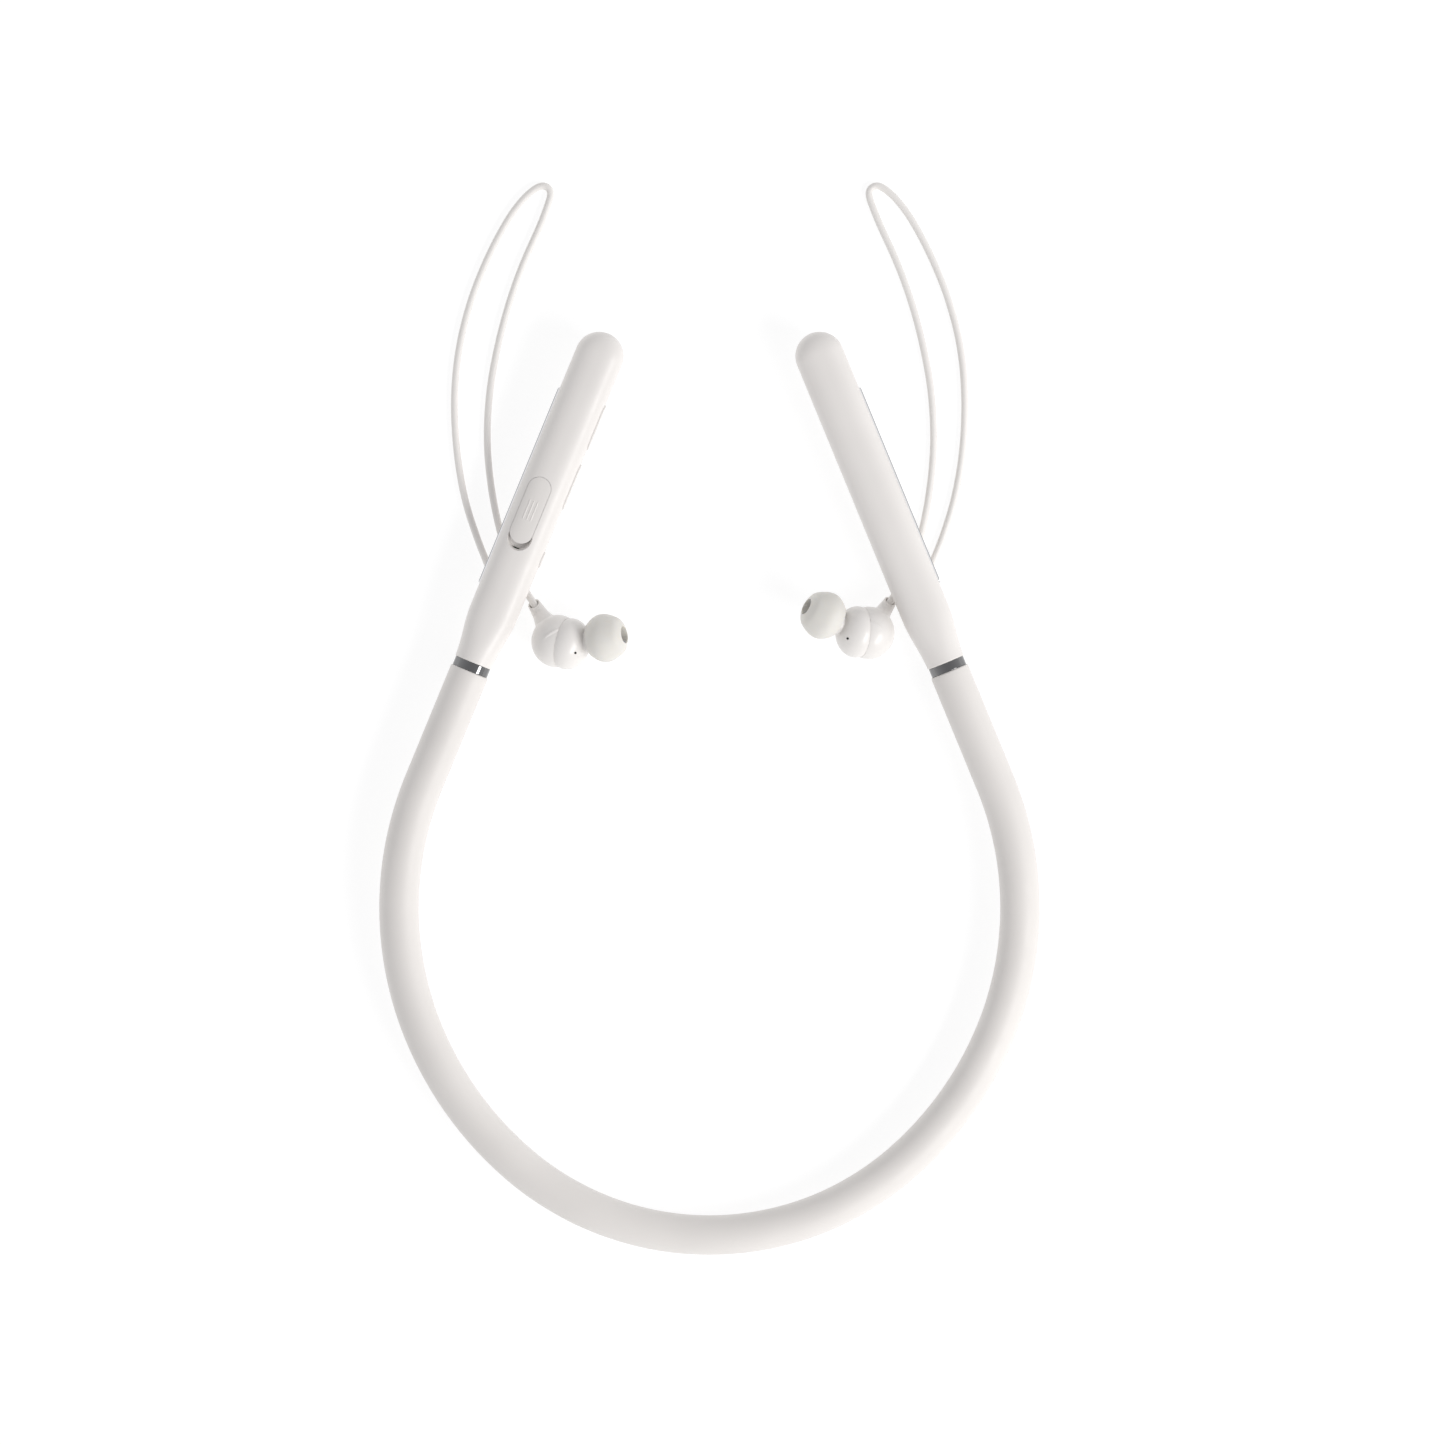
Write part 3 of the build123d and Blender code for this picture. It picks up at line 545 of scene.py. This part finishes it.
def area_light(name, azimuth, elevation, distance, size, radiance, colour=(1, 1, 1)):
    """A soft rectangular light aimed at the middle of the object, of a given radiance."""
    data = bpy.data.lights.new(name, "AREA")
    data.shape = "RECTANGLE"
    data.size, data.size_y = size
    data.energy = radiance * pi * size[0] * size[1]
    data.color = colour
    light = bpy.data.objects.new(name, data)
    a, e = radians(azimuth), radians(elevation)
    towards = Vector((cos(a) * cos(e), sin(a) * cos(e), sin(e)))
    light.location = towards * distance
    light.rotation_mode = "QUATERNION"
    light.rotation_quaternion = towards.to_track_quat("Z", "Y")
    bpy.context.scene.collection.objects.link(light)


def make_studio():
    """Soft daylight from the right, a paler fill all round and a darker ceiling for the metal to reflect."""
    world = bpy.data.worlds.new("studio")
    bpy.context.scene.world = world
    world.use_nodes = True
    tree = world.node_tree
    place = tree.nodes.new("ShaderNodeTexCoord")
    split = tree.nodes.new("ShaderNodeSeparateXYZ")
    ramp = tree.nodes.new("ShaderNodeValToRGB")
    ramp.color_ramp.elements[0].position = 0.0
    ramp.color_ramp.elements[0].color = (0.95, 0.95, 0.95, 1)
    ramp.color_ramp.elements[1].position = 1.0
    ramp.color_ramp.elements[1].color = (0.5, 0.5, 0.51, 1)
    middle = ramp.color_ramp.elements.new(0.3)
    middle.color = (0.76, 0.76, 0.77, 1)
    tree.links.new(place.outputs["Generated"], split.inputs["Vector"])
    tree.links.new(split.outputs["Z"], ramp.inputs["Fac"])
    tree.links.new(ramp.outputs["Color"], tree.nodes["Background"].inputs["Color"])
    area_light("key", -30, 37.5, 1.3, (1.0, 0.36), 8.8, (1.0, 0.99, 0.98))
    bpy.context.scene.view_settings.view_transform = "Standard"


# ---- cables ----
def make_cable(side, route):
    """An ear cable on one smooth spline over its route."""
    name = SIDES[side]
    curve = bpy.data.curves.new(f"ear_cable_{name}", "CURVE")
    curve.dimensions = "3D"
    curve.bevel_depth = 1.0  # each point's own radius carries the cable's size
    curve.bevel_resolution = 8
    curve.resolution_u = 12
    curve.use_fill_caps = True
    spline = curve.splines.new("NURBS")
    spline.points.add(len(route) - 1)
    for point, place in zip(spline.points, route):
        point.co = (*place, 1)
        point.radius = CABLE_DIAMETER / 2
    spline.order_u = 3
    spline.use_endpoint_u = True
    cable = bpy.data.objects.new(f"ear_cable_{name}", curve)
    bpy.context.scene.collection.objects.link(cable)
    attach(cable, f"{name}_arm")
    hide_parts(f"cable_{name}")
    dress(cable, "cable_tpe")


# ---- neckband ----
def band_rings(side, first, last, spacing, radius, rise, count):
    """Rings of points round the band's centreline, raised in its plane."""
    steps = max(1, round((last - first) / spacing))
    rings = []
    for step in range(steps + 1):
        x, y, heading = band_place(side, first + (last - first) * step / steps)
        across = neck_vector(side * sin(heading), -cos(heading), 0)
        rings.append(circle(neck_point(x, y, rise), across, neck_vector(0, 0, 1), radius, count))
    return rings


def bend_at_hinge(piece, side):
    """Look up the side's flex hinge on the band, and bake a piece's placing into its mesh."""
    x, y, heading = band_place(side, HINGE_PLACE)
    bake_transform(piece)


def make_band_half(side):
    """Half of the sleeve, memory wire and wire bundle, from the middle of the back to the ring."""
    name = SIDES[side]
    ring_place = BAND_LENGTH - RING_LENGTH / 2
    rings = band_rings(side, 0, ring_place - SLEEVE_LIP, 0.0014, SLEEVE_RADIUS, 0, 72)
    x, y, heading = band_place(side, ring_place)
    along = neck_vector(side * cos(heading), sin(heading), 0)
    across = neck_vector(side * sin(heading), -cos(heading), 0)
    lip_steps = 5
    for step in range(1, lip_steps + 1):
        turn = pi / 2 * step / lip_steps
        centre = neck_point(x, y, 0) - along * (SLEEVE_LIP * (1 - sin(turn)))
        radius = SLEEVE_RADIUS - SLEEVE_LIP * (1 - cos(turn))
        rings.append(circle(centre, across, neck_vector(0, 0, 1), radius, 72))
    sleeve = loft_rings(f"neck_sleeve_{name}", rings, sharp=radians(50))
    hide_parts(f"band_sleeve_{name}", "band_sleeve_back")
    bend_at_hinge(sleeve, side)
    dress(sleeve, "sleeve_silicone")

    for label, node, radius, rise, slot in BAND_WIRES:
        wire = loft_rings(f"{label}_{name}", band_rings(side, 0, BAND_LENGTH, 0.002, radius, rise, 20))
        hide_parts(node)
        bend_at_hinge(wire, side)
        dress(wire, slot)


def make_ring(side):
    """The bright ring between the sleeve and the pod, with rolled edges."""
    half = RING_LENGTH / 2
    outline = [(-half, JOINER_RADIUS), (-half, RING_RADIUS), (half, RING_RADIUS), (half, JOINER_RADIUS)]
    profile = rounded(outline + outline[:1], RING_EDGE)[:-1]
    ring = turned(f"bright_ring_{SIDES[side]}", pod_axes(side), profile, 128, closed=True)
    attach(ring, f"{SIDES[side]}_arm")
    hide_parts(f"chrome_ring_{SIDES[side]}")
    dress(ring, "chrome")


# ---- pods: everything is shaped in the pod's own frame, then placed ----
def pod_section(along, inset):
    """Half width, half height and fullness of the pod's outside at a place along it."""
    share = max(0.0, min(1.0, (along - POD_START) / TAPER_LENGTH))
    smooth = share * share * (3 - 2 * share)
    left = max(0.0, POD_LIP - (along - POD_START))
    lip = POD_LIP - max(0.0, POD_LIP ** 2 - left ** 2) ** 0.5
    wide = POD_NECK + (POD_HALF_WIDTH - POD_NECK) * smooth - lip - inset
    high = POD_NECK + (POD_HALF_HEIGHT - POD_NECK) * smooth - lip - inset
    return wide, high, 2 + (POD_FULLNESS - 2) * smooth


def section_point(wide, high, fullness, turn):
    """A point of a squared ellipse: out and up."""
    c, s = cos(turn), sin(turn)
    out = wide * abs(c) ** (2 / fullness) * (1 if c > 0 else -1)
    up = high * abs(s) ** (2 / fullness) * (1 if s > 0 else -1)
    return (out if abs(c) > 1e-9 else 0.0), (up if abs(s) > 1e-9 else 0.0)


def pod_solid(name, inset, start, count=128, cap_steps=32):
    """The pod's outer form, shrunk by inset: rings along it and a round end."""
    places = [start + POD_LIP * step / 6 for step in range(6)]
    first = start + POD_LIP
    places += [first + (POD_START + TAPER_LENGTH - first) * step / 24 for step in range(25)]
    straight = CAP_CENTRE - places[-1]
    places += [places[-1] + straight * step / 24 for step in range(1, 25)]
    vertices, faces = [], []
    for along in places:
        wide, high, fullness = pod_section(along, inset)
        for i in range(count):
            vertices.append((along, *section_point(wide, high, fullness, 2 * pi * i / count)))
    faces.append(tuple(range(count)))
    for ring in range(len(places) - 1):
        for i in range(count):
            a, b = ring * count + i, ring * count + (i + 1) % count
            faces.append((a, b, b + count, a + count))
    last = (len(places) - 1) * count
    quarter, half = count // 4, count // 2
    column = [last + (k % count) for k in range(-quarter, quarter + 1)]
    end = [last + half - k for k in range(-quarter, quarter + 1)]
    wide, high, fullness = pod_section(CAP_CENTRE, inset)
    before = column
    for step in range(1, cap_steps + 1):
        swing = pi * step / cap_steps
        if step == cap_steps:
            after = end
        else:
            after = [column[0]]
            for k in range(-quarter + 1, quarter):
                out, up = section_point(wide, high, fullness, 2 * pi * k / count)
                after.append(len(vertices))
                vertices.append((CAP_CENTRE + out * sin(swing), out * cos(swing), up))
            after.append(column[-1])
        for k in range(len(column) - 1):
            face = [before[k], before[k + 1], after[k + 1], after[k]]
            faces.append(tuple(dict.fromkeys(face)))
        before = after
    return make_object(name, vertices, faces)


def outline_block(name, outline, low, high, across=True):
    """A straight-sided block with an outline: across pushes it outwards, otherwise upwards."""
    rings = []
    for level in (low, high):
        rings.append([Vector((x, level, t)) if across else Vector((x, t, level)) for x, t in outline])
    return loft_rings(name, rings)


def slot_outline(first, last, middle, width, steps=14):
    """A round-ended slot's outline."""
    radius = width / 2
    points = []
    for centre, turn in ((last - radius, -pi / 2), (first + radius, pi / 2)):
        for step in range(steps + 1):
            t = turn + pi * step / steps
            points.append((centre + radius * cos(t), middle + radius * sin(t)))
    return points


def box_outline(first, last, low, high):
    """A square-cornered outline."""
    return [(first, low), (last, low), (last, high), (first, high)]


def combine(piece, operation, *others):
    """Cut a piece with others, join them to it or keep what they share; the others are used up."""
    for other in others:
        step = piece.modifiers.new("combine", "BOOLEAN")
        step.operation, step.solver, step.object = operation, "MANIFOLD", other
    picture = bpy.context.evaluated_depsgraph_get()
    made = bpy.data.meshes.new_from_object(piece.evaluated_get(picture))
    made.name = piece.data.name
    piece.modifiers.clear()
    piece.data = made
    for other in others:
        bpy.data.objects.remove(other)
    return piece


def copy_of(piece):
    """A second object with its own mesh."""
    other = piece.copy()
    other.data = piece.data.copy()
    bpy.context.scene.collection.objects.link(other)
    return other


def pod_field(point):
    """Zero on the pod's outside, negative within it."""
    x, y, z = point
    wide, high, fullness = pod_section(max(POD_START, min(x, CAP_CENTRE)), 0)
    reach = hypot(y, max(0.0, x - CAP_CENTRE))
    return (reach / wide) ** fullness + (abs(z) / high) ** fullness - 1


def skin_normals(piece, fields):
    """For each face corner, the true normal of the curved outside it lies on, or zero where it lies on none."""
    step = NORMAL_STEP
    found = {}
    for vertex in piece.data.vertices:
        found[vertex.index] = []
        for field in fields:
            slope = []
            for axis in range(3):
                ahead, behind = list(vertex.co), list(vertex.co)
                ahead[axis] += step
                behind[axis] -= step
                slope.append((field(ahead) - field(behind)) / (2 * step))
            slope = Vector(slope)
            if slope.length > 0 and abs(field(vertex.co)) < SKIN_DEPTH * slope.length:
                found[vertex.index].append(slope.normalized())
    corners = []
    for face in piece.data.polygons:
        for index in face.vertices:
            normals = [normal for normal in found[index] if normal.dot(face.normal) > FACE_MATCH]
            corners.append(max(normals, key=face.normal.dot) if normals else Vector((0, 0, 0)))
    return corners


def finish_piece(piece, fields, place=None, sharp=radians(30)):
    """Give a piece its true normals, and move it from its own frame into place."""
    corners = skin_normals(piece, fields)
    data = piece.data
    if place:
        turn = place.to_3x3()
        corners = [turn @ corner for corner in corners]
        data.transform(place)
        if turn.determinant() < 0:
            start, ordered = 0, []
            for face in data.polygons:
                count = len(face.vertices)
                part = corners[start:start + count]
                ordered.extend([part[0]] + part[:0:-1])
                start += count
            corners = ordered
            data.flip_normals()
    data.shade_smooth()
    data.set_sharp_from_angle(angle=sharp)
    data.normals_split_custom_set(corners)


def button_opening(name, gap):
    """The opening for a button in the inner wall."""
    first, last = BUTTONS[name]
    outline = slot_outline(first - gap, last + gap, 0, BUTTON_HEIGHT + 2 * gap)
    return outline_block("opening", outline, *BUTTON_CUT)


def make_button(name):
    """A push button: a slab with rounded edges in the inner wall, and a flange behind the wall."""
    first, last = BUTTONS[name]
    face = POD_HALF_WIDTH + BUTTON_PROUD
    levels = [(BUTTON_FLANGE - 0.0001, 0.0)]
    for turn in (pi / 2 * step / 5 for step in range(6)):
        levels.append((face - BUTTON_EDGE * (1 - sin(turn)), BUTTON_EDGE * (1 - cos(turn))))
    rings = []
    for level, shrink in levels:
        outline = slot_outline(first + shrink, last - shrink, 0, BUTTON_HEIGHT - 2 * shrink)
        rings.append([Vector((x, -level, up)) for x, up in outline])
    button = loft_rings(f"{name}_key_cap", rings, sharp=radians(40))
    flange = slot_outline(first - BUTTON_RIM, last + BUTTON_RIM, 0, BUTTON_HEIGHT + BUTTON_RIM_HEIGHT)
    button = combine(button, "UNION", outline_block("flange", flange, -BUTTON_FLANGE, -BUTTON_BACK))
    finish_piece(button, [], pod_axes(-1), radians(40))
    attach(button, f"{name}_key")
    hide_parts(f"{name}_button")
    dress(button, "button_plastic")


def make_strip(side):
    """The bright strip in the outer wall: a bevel all round and a flat lip."""
    rings = []
    for out, shrink in STRIP_STEPS:
        outline = slot_outline(STRIP_START + shrink, STRIP_END - shrink, 0, STRIP_HEIGHT - 2 * shrink)
        rings.append([Vector((x, out, up)) for x, up in outline])
    strip = loft_rings(f"bright_strip_{SIDES[side]}", rings, sharp=radians(25))
    finish_piece(strip, [], pod_axes(side), radians(25))
    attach(strip, f"{SIDES[side]}_arm")
    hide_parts(f"side_strip_{SIDES[side]}")
    dress(strip, "chrome", "bright_trim")


def seam_cutter():
    """A shallow groove all round where the two halves of a pod meet."""
    outline = box_outline(POD_START + 0.0002, 0.09, -0.01, 0.01)
    slab = outline_block("seam", outline, -SEAM_HALF_HEIGHT, SEAM_HALF_HEIGHT, False)
    return combine(slab, "DIFFERENCE", pod_solid("core", SEAM_DEPTH, POD_START))


def make_pod(side):
    """The two shells of a pod, and on the left the charging flap."""
    name = SIDES[side]
    route = LEFT_ROUTE if side < 0 else RIGHT_ROUTE
    place = pod_axes(side)
    shell = pod_solid("shell", 0, POD_START)
    shell = combine(shell, "DIFFERENCE", pod_solid("hollow", POD_WALL, POD_START + END_WALL))
    flap_end = FLAP_START + FLAP_LENGTH
    if side < 0:
        seat_outline = box_outline(FLAP_START - SEAT_MARGIN, flap_end + SEAT_MARGIN, *SEAT_SIDES)
        shell = combine(shell, "UNION", outline_block("seat", seat_outline, *SEAT_LEVELS, False))
        flap = pod_solid("usb_cover", 0, POD_START)
        outline = slot_outline(FLAP_START, flap_end, FLAP_OUT, FLAP_WIDTH)
        flap = combine(flap, "INTERSECT", outline_block("outline", outline, FLAP_FLOOR, CUT_TOP, False))
        middle = (FLAP_START + flap_end) / 2
        plug = slot_outline(middle - PLUG_LENGTH / 2, middle + PLUG_LENGTH / 2, FLAP_OUT, PLUG_WIDTH)
        plug_block = outline_block("plug", plug, FLAP_FLOOR - PLUG_DEPTH, FLAP_FLOOR + 0.0002, False)
        flap = combine(flap, "UNION", plug_block)
        for rib in range(-1, 2):
            out = FLAP_OUT + RIB_SPACING * rib
            wide, high, fullness = pod_section(middle, 0)
            up = high * (1 - (abs(out) / wide) ** fullness) ** (1 / fullness) - RIB_SINK
            half = RIB_LENGTH / 2
            profile = [(-half, 0.0), (-half + RIB_SLOPE, RIB_RADIUS)]
            profile += [(half - RIB_SLOPE, RIB_RADIUS), (half, 0.0)]
            place_rib = Matrix.Translation((middle, out, up))
            flap = combine(flap, "UNION", turned("rib", place_rib, rounded(profile, RIB_ROUNDING), 24))
        pocket = slot_outline(FLAP_START - FLAP_GAP, flap_end + FLAP_GAP,
                              FLAP_OUT, FLAP_WIDTH + 2 * FLAP_GAP)
        socket = slot_outline(middle - SOCKET_LENGTH / 2 - FIT_GAP, middle + SOCKET_LENGTH / 2 + FIT_GAP,
                              FLAP_OUT, SOCKET_WIDTH + 2 * FIT_GAP)
        scoop_place = Matrix.Translation((RECESS_PLACE, FLAP_OUT, 0)) @ Matrix.Rotation(-pi / 2, 4, "Y")
        bowl = [(RECESS_FLOOR, 0), (RECESS_FLOOR, RECESS_RADIUS - RECESS_NARROW)]
        bowl += [(RECESS_TOP, RECESS_RADIUS + RECESS_FLARE), (RECESS_TOP, 0)]
        scoop = turned("scoop", scoop_place, bowl, 64)
        pocket_block = outline_block("pocket", pocket, FLAP_FLOOR - FIT_GAP, CUT_TOP, False)
        shell = combine(shell, "DIFFERENCE", pocket_block)
        shell = combine(shell, "DIFFERENCE", outline_block("socket", socket, 0, CUT_TOP, False))
        shell = combine(shell, "DIFFERENCE", scoop)
        for label in BUTTONS:
            shell = combine(shell, "DIFFERENCE", button_opening(label, FIT_GAP))
        sound_place = Matrix.Translation(SOUND_HOLE_PLACE) @ Matrix.Rotation(-pi / 2, 4, "Z")
        sound_hole = turned("hole", sound_place, rod_profile(*SOUND_HOLE_SPAN, SOUND_HOLE_RADIUS), 24)
        shell = combine(shell, "DIFFERENCE", sound_hole)
        finish_piece(flap, [pod_field], place)
        flap.name = "charging_flap"
        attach(flap, "port_flap")
        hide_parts("usb_flap")
        dress(flap, "flap_silicone")
    joiner = rod_profile(POD_START - 0.001, POD_START + JOINER_REACH, JOINER_RADIUS + JOINER_GAP)
    shell = combine(shell, "DIFFERENCE", turned("joiner", Matrix.Identity(4), joiner, 64))
    strip = slot_outline(STRIP_START - STRIP_GAP, STRIP_END + STRIP_GAP, 0, STRIP_HEIGHT + 2 * STRIP_GAP)
    shell = combine(shell, "DIFFERENCE", outline_block("strip", strip, STRIP_SEAT, 0.008))
    shell = combine(shell, "DIFFERENCE", seam_cutter())
    tip, onward = Vector(route[0]), (Vector(route[1]) - Vector(route[0])).normalized()
    across = onward.cross(Vector((0, 0, 1))).normalized()
    exit_place = place.inverted() @ axes_at(tip, onward, across, onward.cross(across))
    grommet = [(-GROMMET_LENGTH, 0), (-GROMMET_LENGTH, GROMMET_RADII[0] + GROMMET_GAP)]
    grommet += [(0.0001, GROMMET_RADII[1] + GROMMET_GAP), (0.0001, 0)]
    grommet_hole = turned("grommet", exit_place, grommet, 48)
    for label, low, high in (("upper", 0.0, 0.01), ("lower", -0.01, 0.0)):
        half = copy_of(shell)
        keep = outline_block("keep", box_outline(-0.01, 0.1, -0.02, 0.02), low, high, False)
        half = combine(half, "INTERSECT", keep)
        if label == "lower":
            half = combine(half, "DIFFERENCE", grommet_hole)
        finish_piece(half, [pod_field], place)
        half.name = f"pod_{label}_shell_{name}"
        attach(half, f"{name}_arm")
        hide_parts(f"pod_{label}_{name}")
        dress(half, "pod_plastic")
    bpy.data.objects.remove(shell)


# ---- earbuds ----
def bud_axes(side):
    """The nozzle's axis and the housing's axis."""
    turn = NOZZLE_TURNS[side]
    nozzle = Vector((cos(turn) * cos(NOZZLE_TILT), sin(turn) * cos(NOZZLE_TILT), sin(NOZZLE_TILT)))
    across = Vector((-sin(turn), cos(turn), 0))
    return nozzle, nozzle * cos(HOUSING_BEND) + across * (side * sin(HOUSING_BEND))


def place_along(origin, axis):
    """A placing matrix with X along an axis and Y level."""
    level = Vector((0, 0, 1)).cross(axis).normalized()
    return axes_at(origin, axis, level, axis.cross(level))


def ball_profile(middle, depth, radius, steps=48):
    """A flattened ball's profile."""
    turns = [pi * step / steps for step in range(steps + 1)]
    return [(middle - depth * cos(t), radius * sin(t)) for t in turns]


def ball_field(place, middle, depth, radius):
    """Zero on a flattened ball's outside."""
    inverse = place.inverted()

    def field(point):
        x, y, z = inverse @ Vector(point)
        return ((x - middle) / depth) ** 2 + (y * y + z * z) / radius ** 2 - 1

    return field


def turned_field(place, radius_at):
    """Zero on the outside of a turned shape whose radius depends on the place along its axis."""
    inverse = place.inverted()

    def field(point):
        x, y, z = inverse @ Vector(point)
        return hypot(y, z) - radius_at(x)

    return field


def block_at(place, low, high):
    """A box between two corners of a placed frame."""
    rings = []
    for x in (low[0], high[0]):
        corners = [(low[1], low[2]), (high[1], low[2]), (high[1], high[2]), (low[1], high[2])]
        rings.append([place @ Vector((x, y, z)) for y, z in corners])
    return loft_rings("block", rings)


def make_bud(side):
    """The rear and front shells of an earbud, its cable cap and the cable's end in it."""
    name = SIDES[side]
    route = [Vector(point) for point in (LEFT_ROUTE if side < 0 else RIGHT_ROUTE)]
    onward = (route[-1] - route[-2]).normalized()
    mouth = route[-1] - onward * CABLE_INSERT
    cap_end = mouth + onward * CAP_LENGTH
    centre = BUD_CENTRES[side]
    nozzle, housing = bud_axes(side)
    body, spout = place_along(centre, housing), place_along(centre, nozzle)
    inner = 1 - BUD_WALL / REAR_RADIUS

    root = body @ Vector((REAR_MIDDLE, 0, 0)) + Vector((0, 0, HORN_LIFT))
    reach = (root - cap_end).length
    horn_place = place_along(cap_end, (root - cap_end).normalized())

    def horn_radius(x):
        share = max(0.0, min(1.0, x / reach))
        lip = HORN_LIP * max(0.0, 1 - x / HORN_LIP_LENGTH) ** 2
        return HORN_START + (HORN_END - HORN_START) * share ** HORN_FLARE - lip

    profile = [(0, 0)] + [(reach * step / 48, horn_radius(reach * step / 48)) for step in range(49)]
    turns = [pi / 2 * step / 12 for step in range(1, 13)]
    profile += [(reach + HORN_CROWN * sin(t), HORN_END * cos(t)) for t in turns]
    profile[-1] = (profile[-1][0], 0)
    rear = turned(f"bud_rear_{name}", body, ball_profile(REAR_MIDDLE, REAR_DEPTH, REAR_RADIUS))
    rear = combine(rear, "UNION", turned("horn", horn_place, profile))
    rear = combine(rear, "DIFFERENCE", block_at(body, (WAIST, -0.02, -0.02), (0.02, 0.02, 0.02)))
    hollow = ball_profile(REAR_MIDDLE, REAR_DEPTH * inner, REAR_RADIUS * inner)
    rear = combine(rear, "DIFFERENCE", turned("hollow", body, hollow))
    rear_fields = [ball_field(body, REAR_MIDDLE, REAR_DEPTH, REAR_RADIUS)]
    rear_fields.append(turned_field(horn_place, horn_radius))
    finish_piece(rear, rear_fields, sharp=radians(24))

    front = turned(f"bud_front_{name}", body, ball_profile(0, FRONT_DEPTH, FRONT_RADIUS))
    front = combine(front, "UNION", turned("spout", spout, rod_profile(*NOZZLE_SPAN, NOZZLE_RADIUS), 64))
    front = combine(front, "DIFFERENCE", block_at(body, (-0.02, -0.02, -0.02), (WAIST, 0.02, 0.02)))
    hollow = ball_profile(0, FRONT_DEPTH * inner, FRONT_RADIUS * inner)
    front = combine(front, "DIFFERENCE", turned("hollow", body, hollow))
    bore = rod_profile(NOZZLE_SPAN[0] - BORE_OVERRUN, NOZZLE_SPAN[1] + BORE_OVERRUN, NOZZLE_BORE)
    front = combine(front, "DIFFERENCE", turned("bore", spout, bore, 64))
    level = Vector((housing.x, housing.y, 0)).normalized()
    aside = Vector((-level.y, level.x, 0)) * (1 if level.x > 0 else -1)
    vent = centre + level * VENT_PLACE[0] + aside * VENT_PLACE[1]
    vent_place = axes_at(vent, Vector((0, 0, 1)), Vector((1, 0, 0)), Vector((0, 1, 0)))
    vent_hole = turned("vent", vent_place, rod_profile(*VENT_SPAN, VENT_RADIUS), 24)
    front = combine(front, "DIFFERENCE", vent_hole)
    front_fields = [ball_field(body, 0, FRONT_DEPTH, FRONT_RADIUS)]
    front_fields.append(turned_field(spout, lambda x: NOZZLE_RADIUS))
    finish_piece(front, front_fields, sharp=radians(24))

    cap_place = place_along(mouth, onward)
    outer = [(-CAP_BACK, 0), (-CAP_BACK, CAP_RADII[0]), (0, CAP_RADII[0])]
    outer += [(CAP_LENGTH - CAP_EDGE_LENGTH, CAP_RADII[1]), (CAP_LENGTH, CAP_RADII[1] - CAP_EDGE_DEPTH)]
    outer.append((CAP_LENGTH, 0))
    cap = turned(f"bud_cap_{name}", cap_place, outer, 72, sharp=radians(30))
    cap_bore = turned("bore", cap_place, rod_profile(-0.004, CAP_BORE_DEPTH, CAP_BORE), 64)
    cap = combine(cap, "DIFFERENCE", cap_bore)
    slant = cap_place @ Matrix.Rotation(MOUTH_SLANT, 4, "Y")
    cap = combine(cap, "DIFFERENCE", block_at(slant, (-0.01, -0.01, -0.01), (0, 0.01, 0.01)))
    finish_piece(cap, [], sharp=radians(30))

    stub = rod_profile(-0.0001, CAP_BORE_DEPTH, CABLE_DIAMETER / 2)
    cable_end = turned(f"cable_end_{name}", cap_place, stub, 32)

    for piece, node, slot in (
        (rear, "bud_rear_shell", "bud_plastic"),
        (front, "bud_front_shell", "bud_plastic"),
        (cap, "bud_boot", "cable_tpe"),
        (cable_end, "bud_boot", "cable_tpe"),
    ):
        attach(piece, f"{name}_bud")
        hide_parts(f"{node}_{name}")
        dress(piece, slot)


materials = make_materials()
make_camera()
make_floor()
make_studio()
dress_cad_nodes()
make_cable(-1, LEFT_ROUTE)
make_cable(1, RIGHT_ROUTE)
for side in SIDES:
    make_band_half(side)
    make_ring(side)
    make_pod(side)
    make_strip(side)
    make_bud(side)
for button in BUTTONS:
    make_button(button)
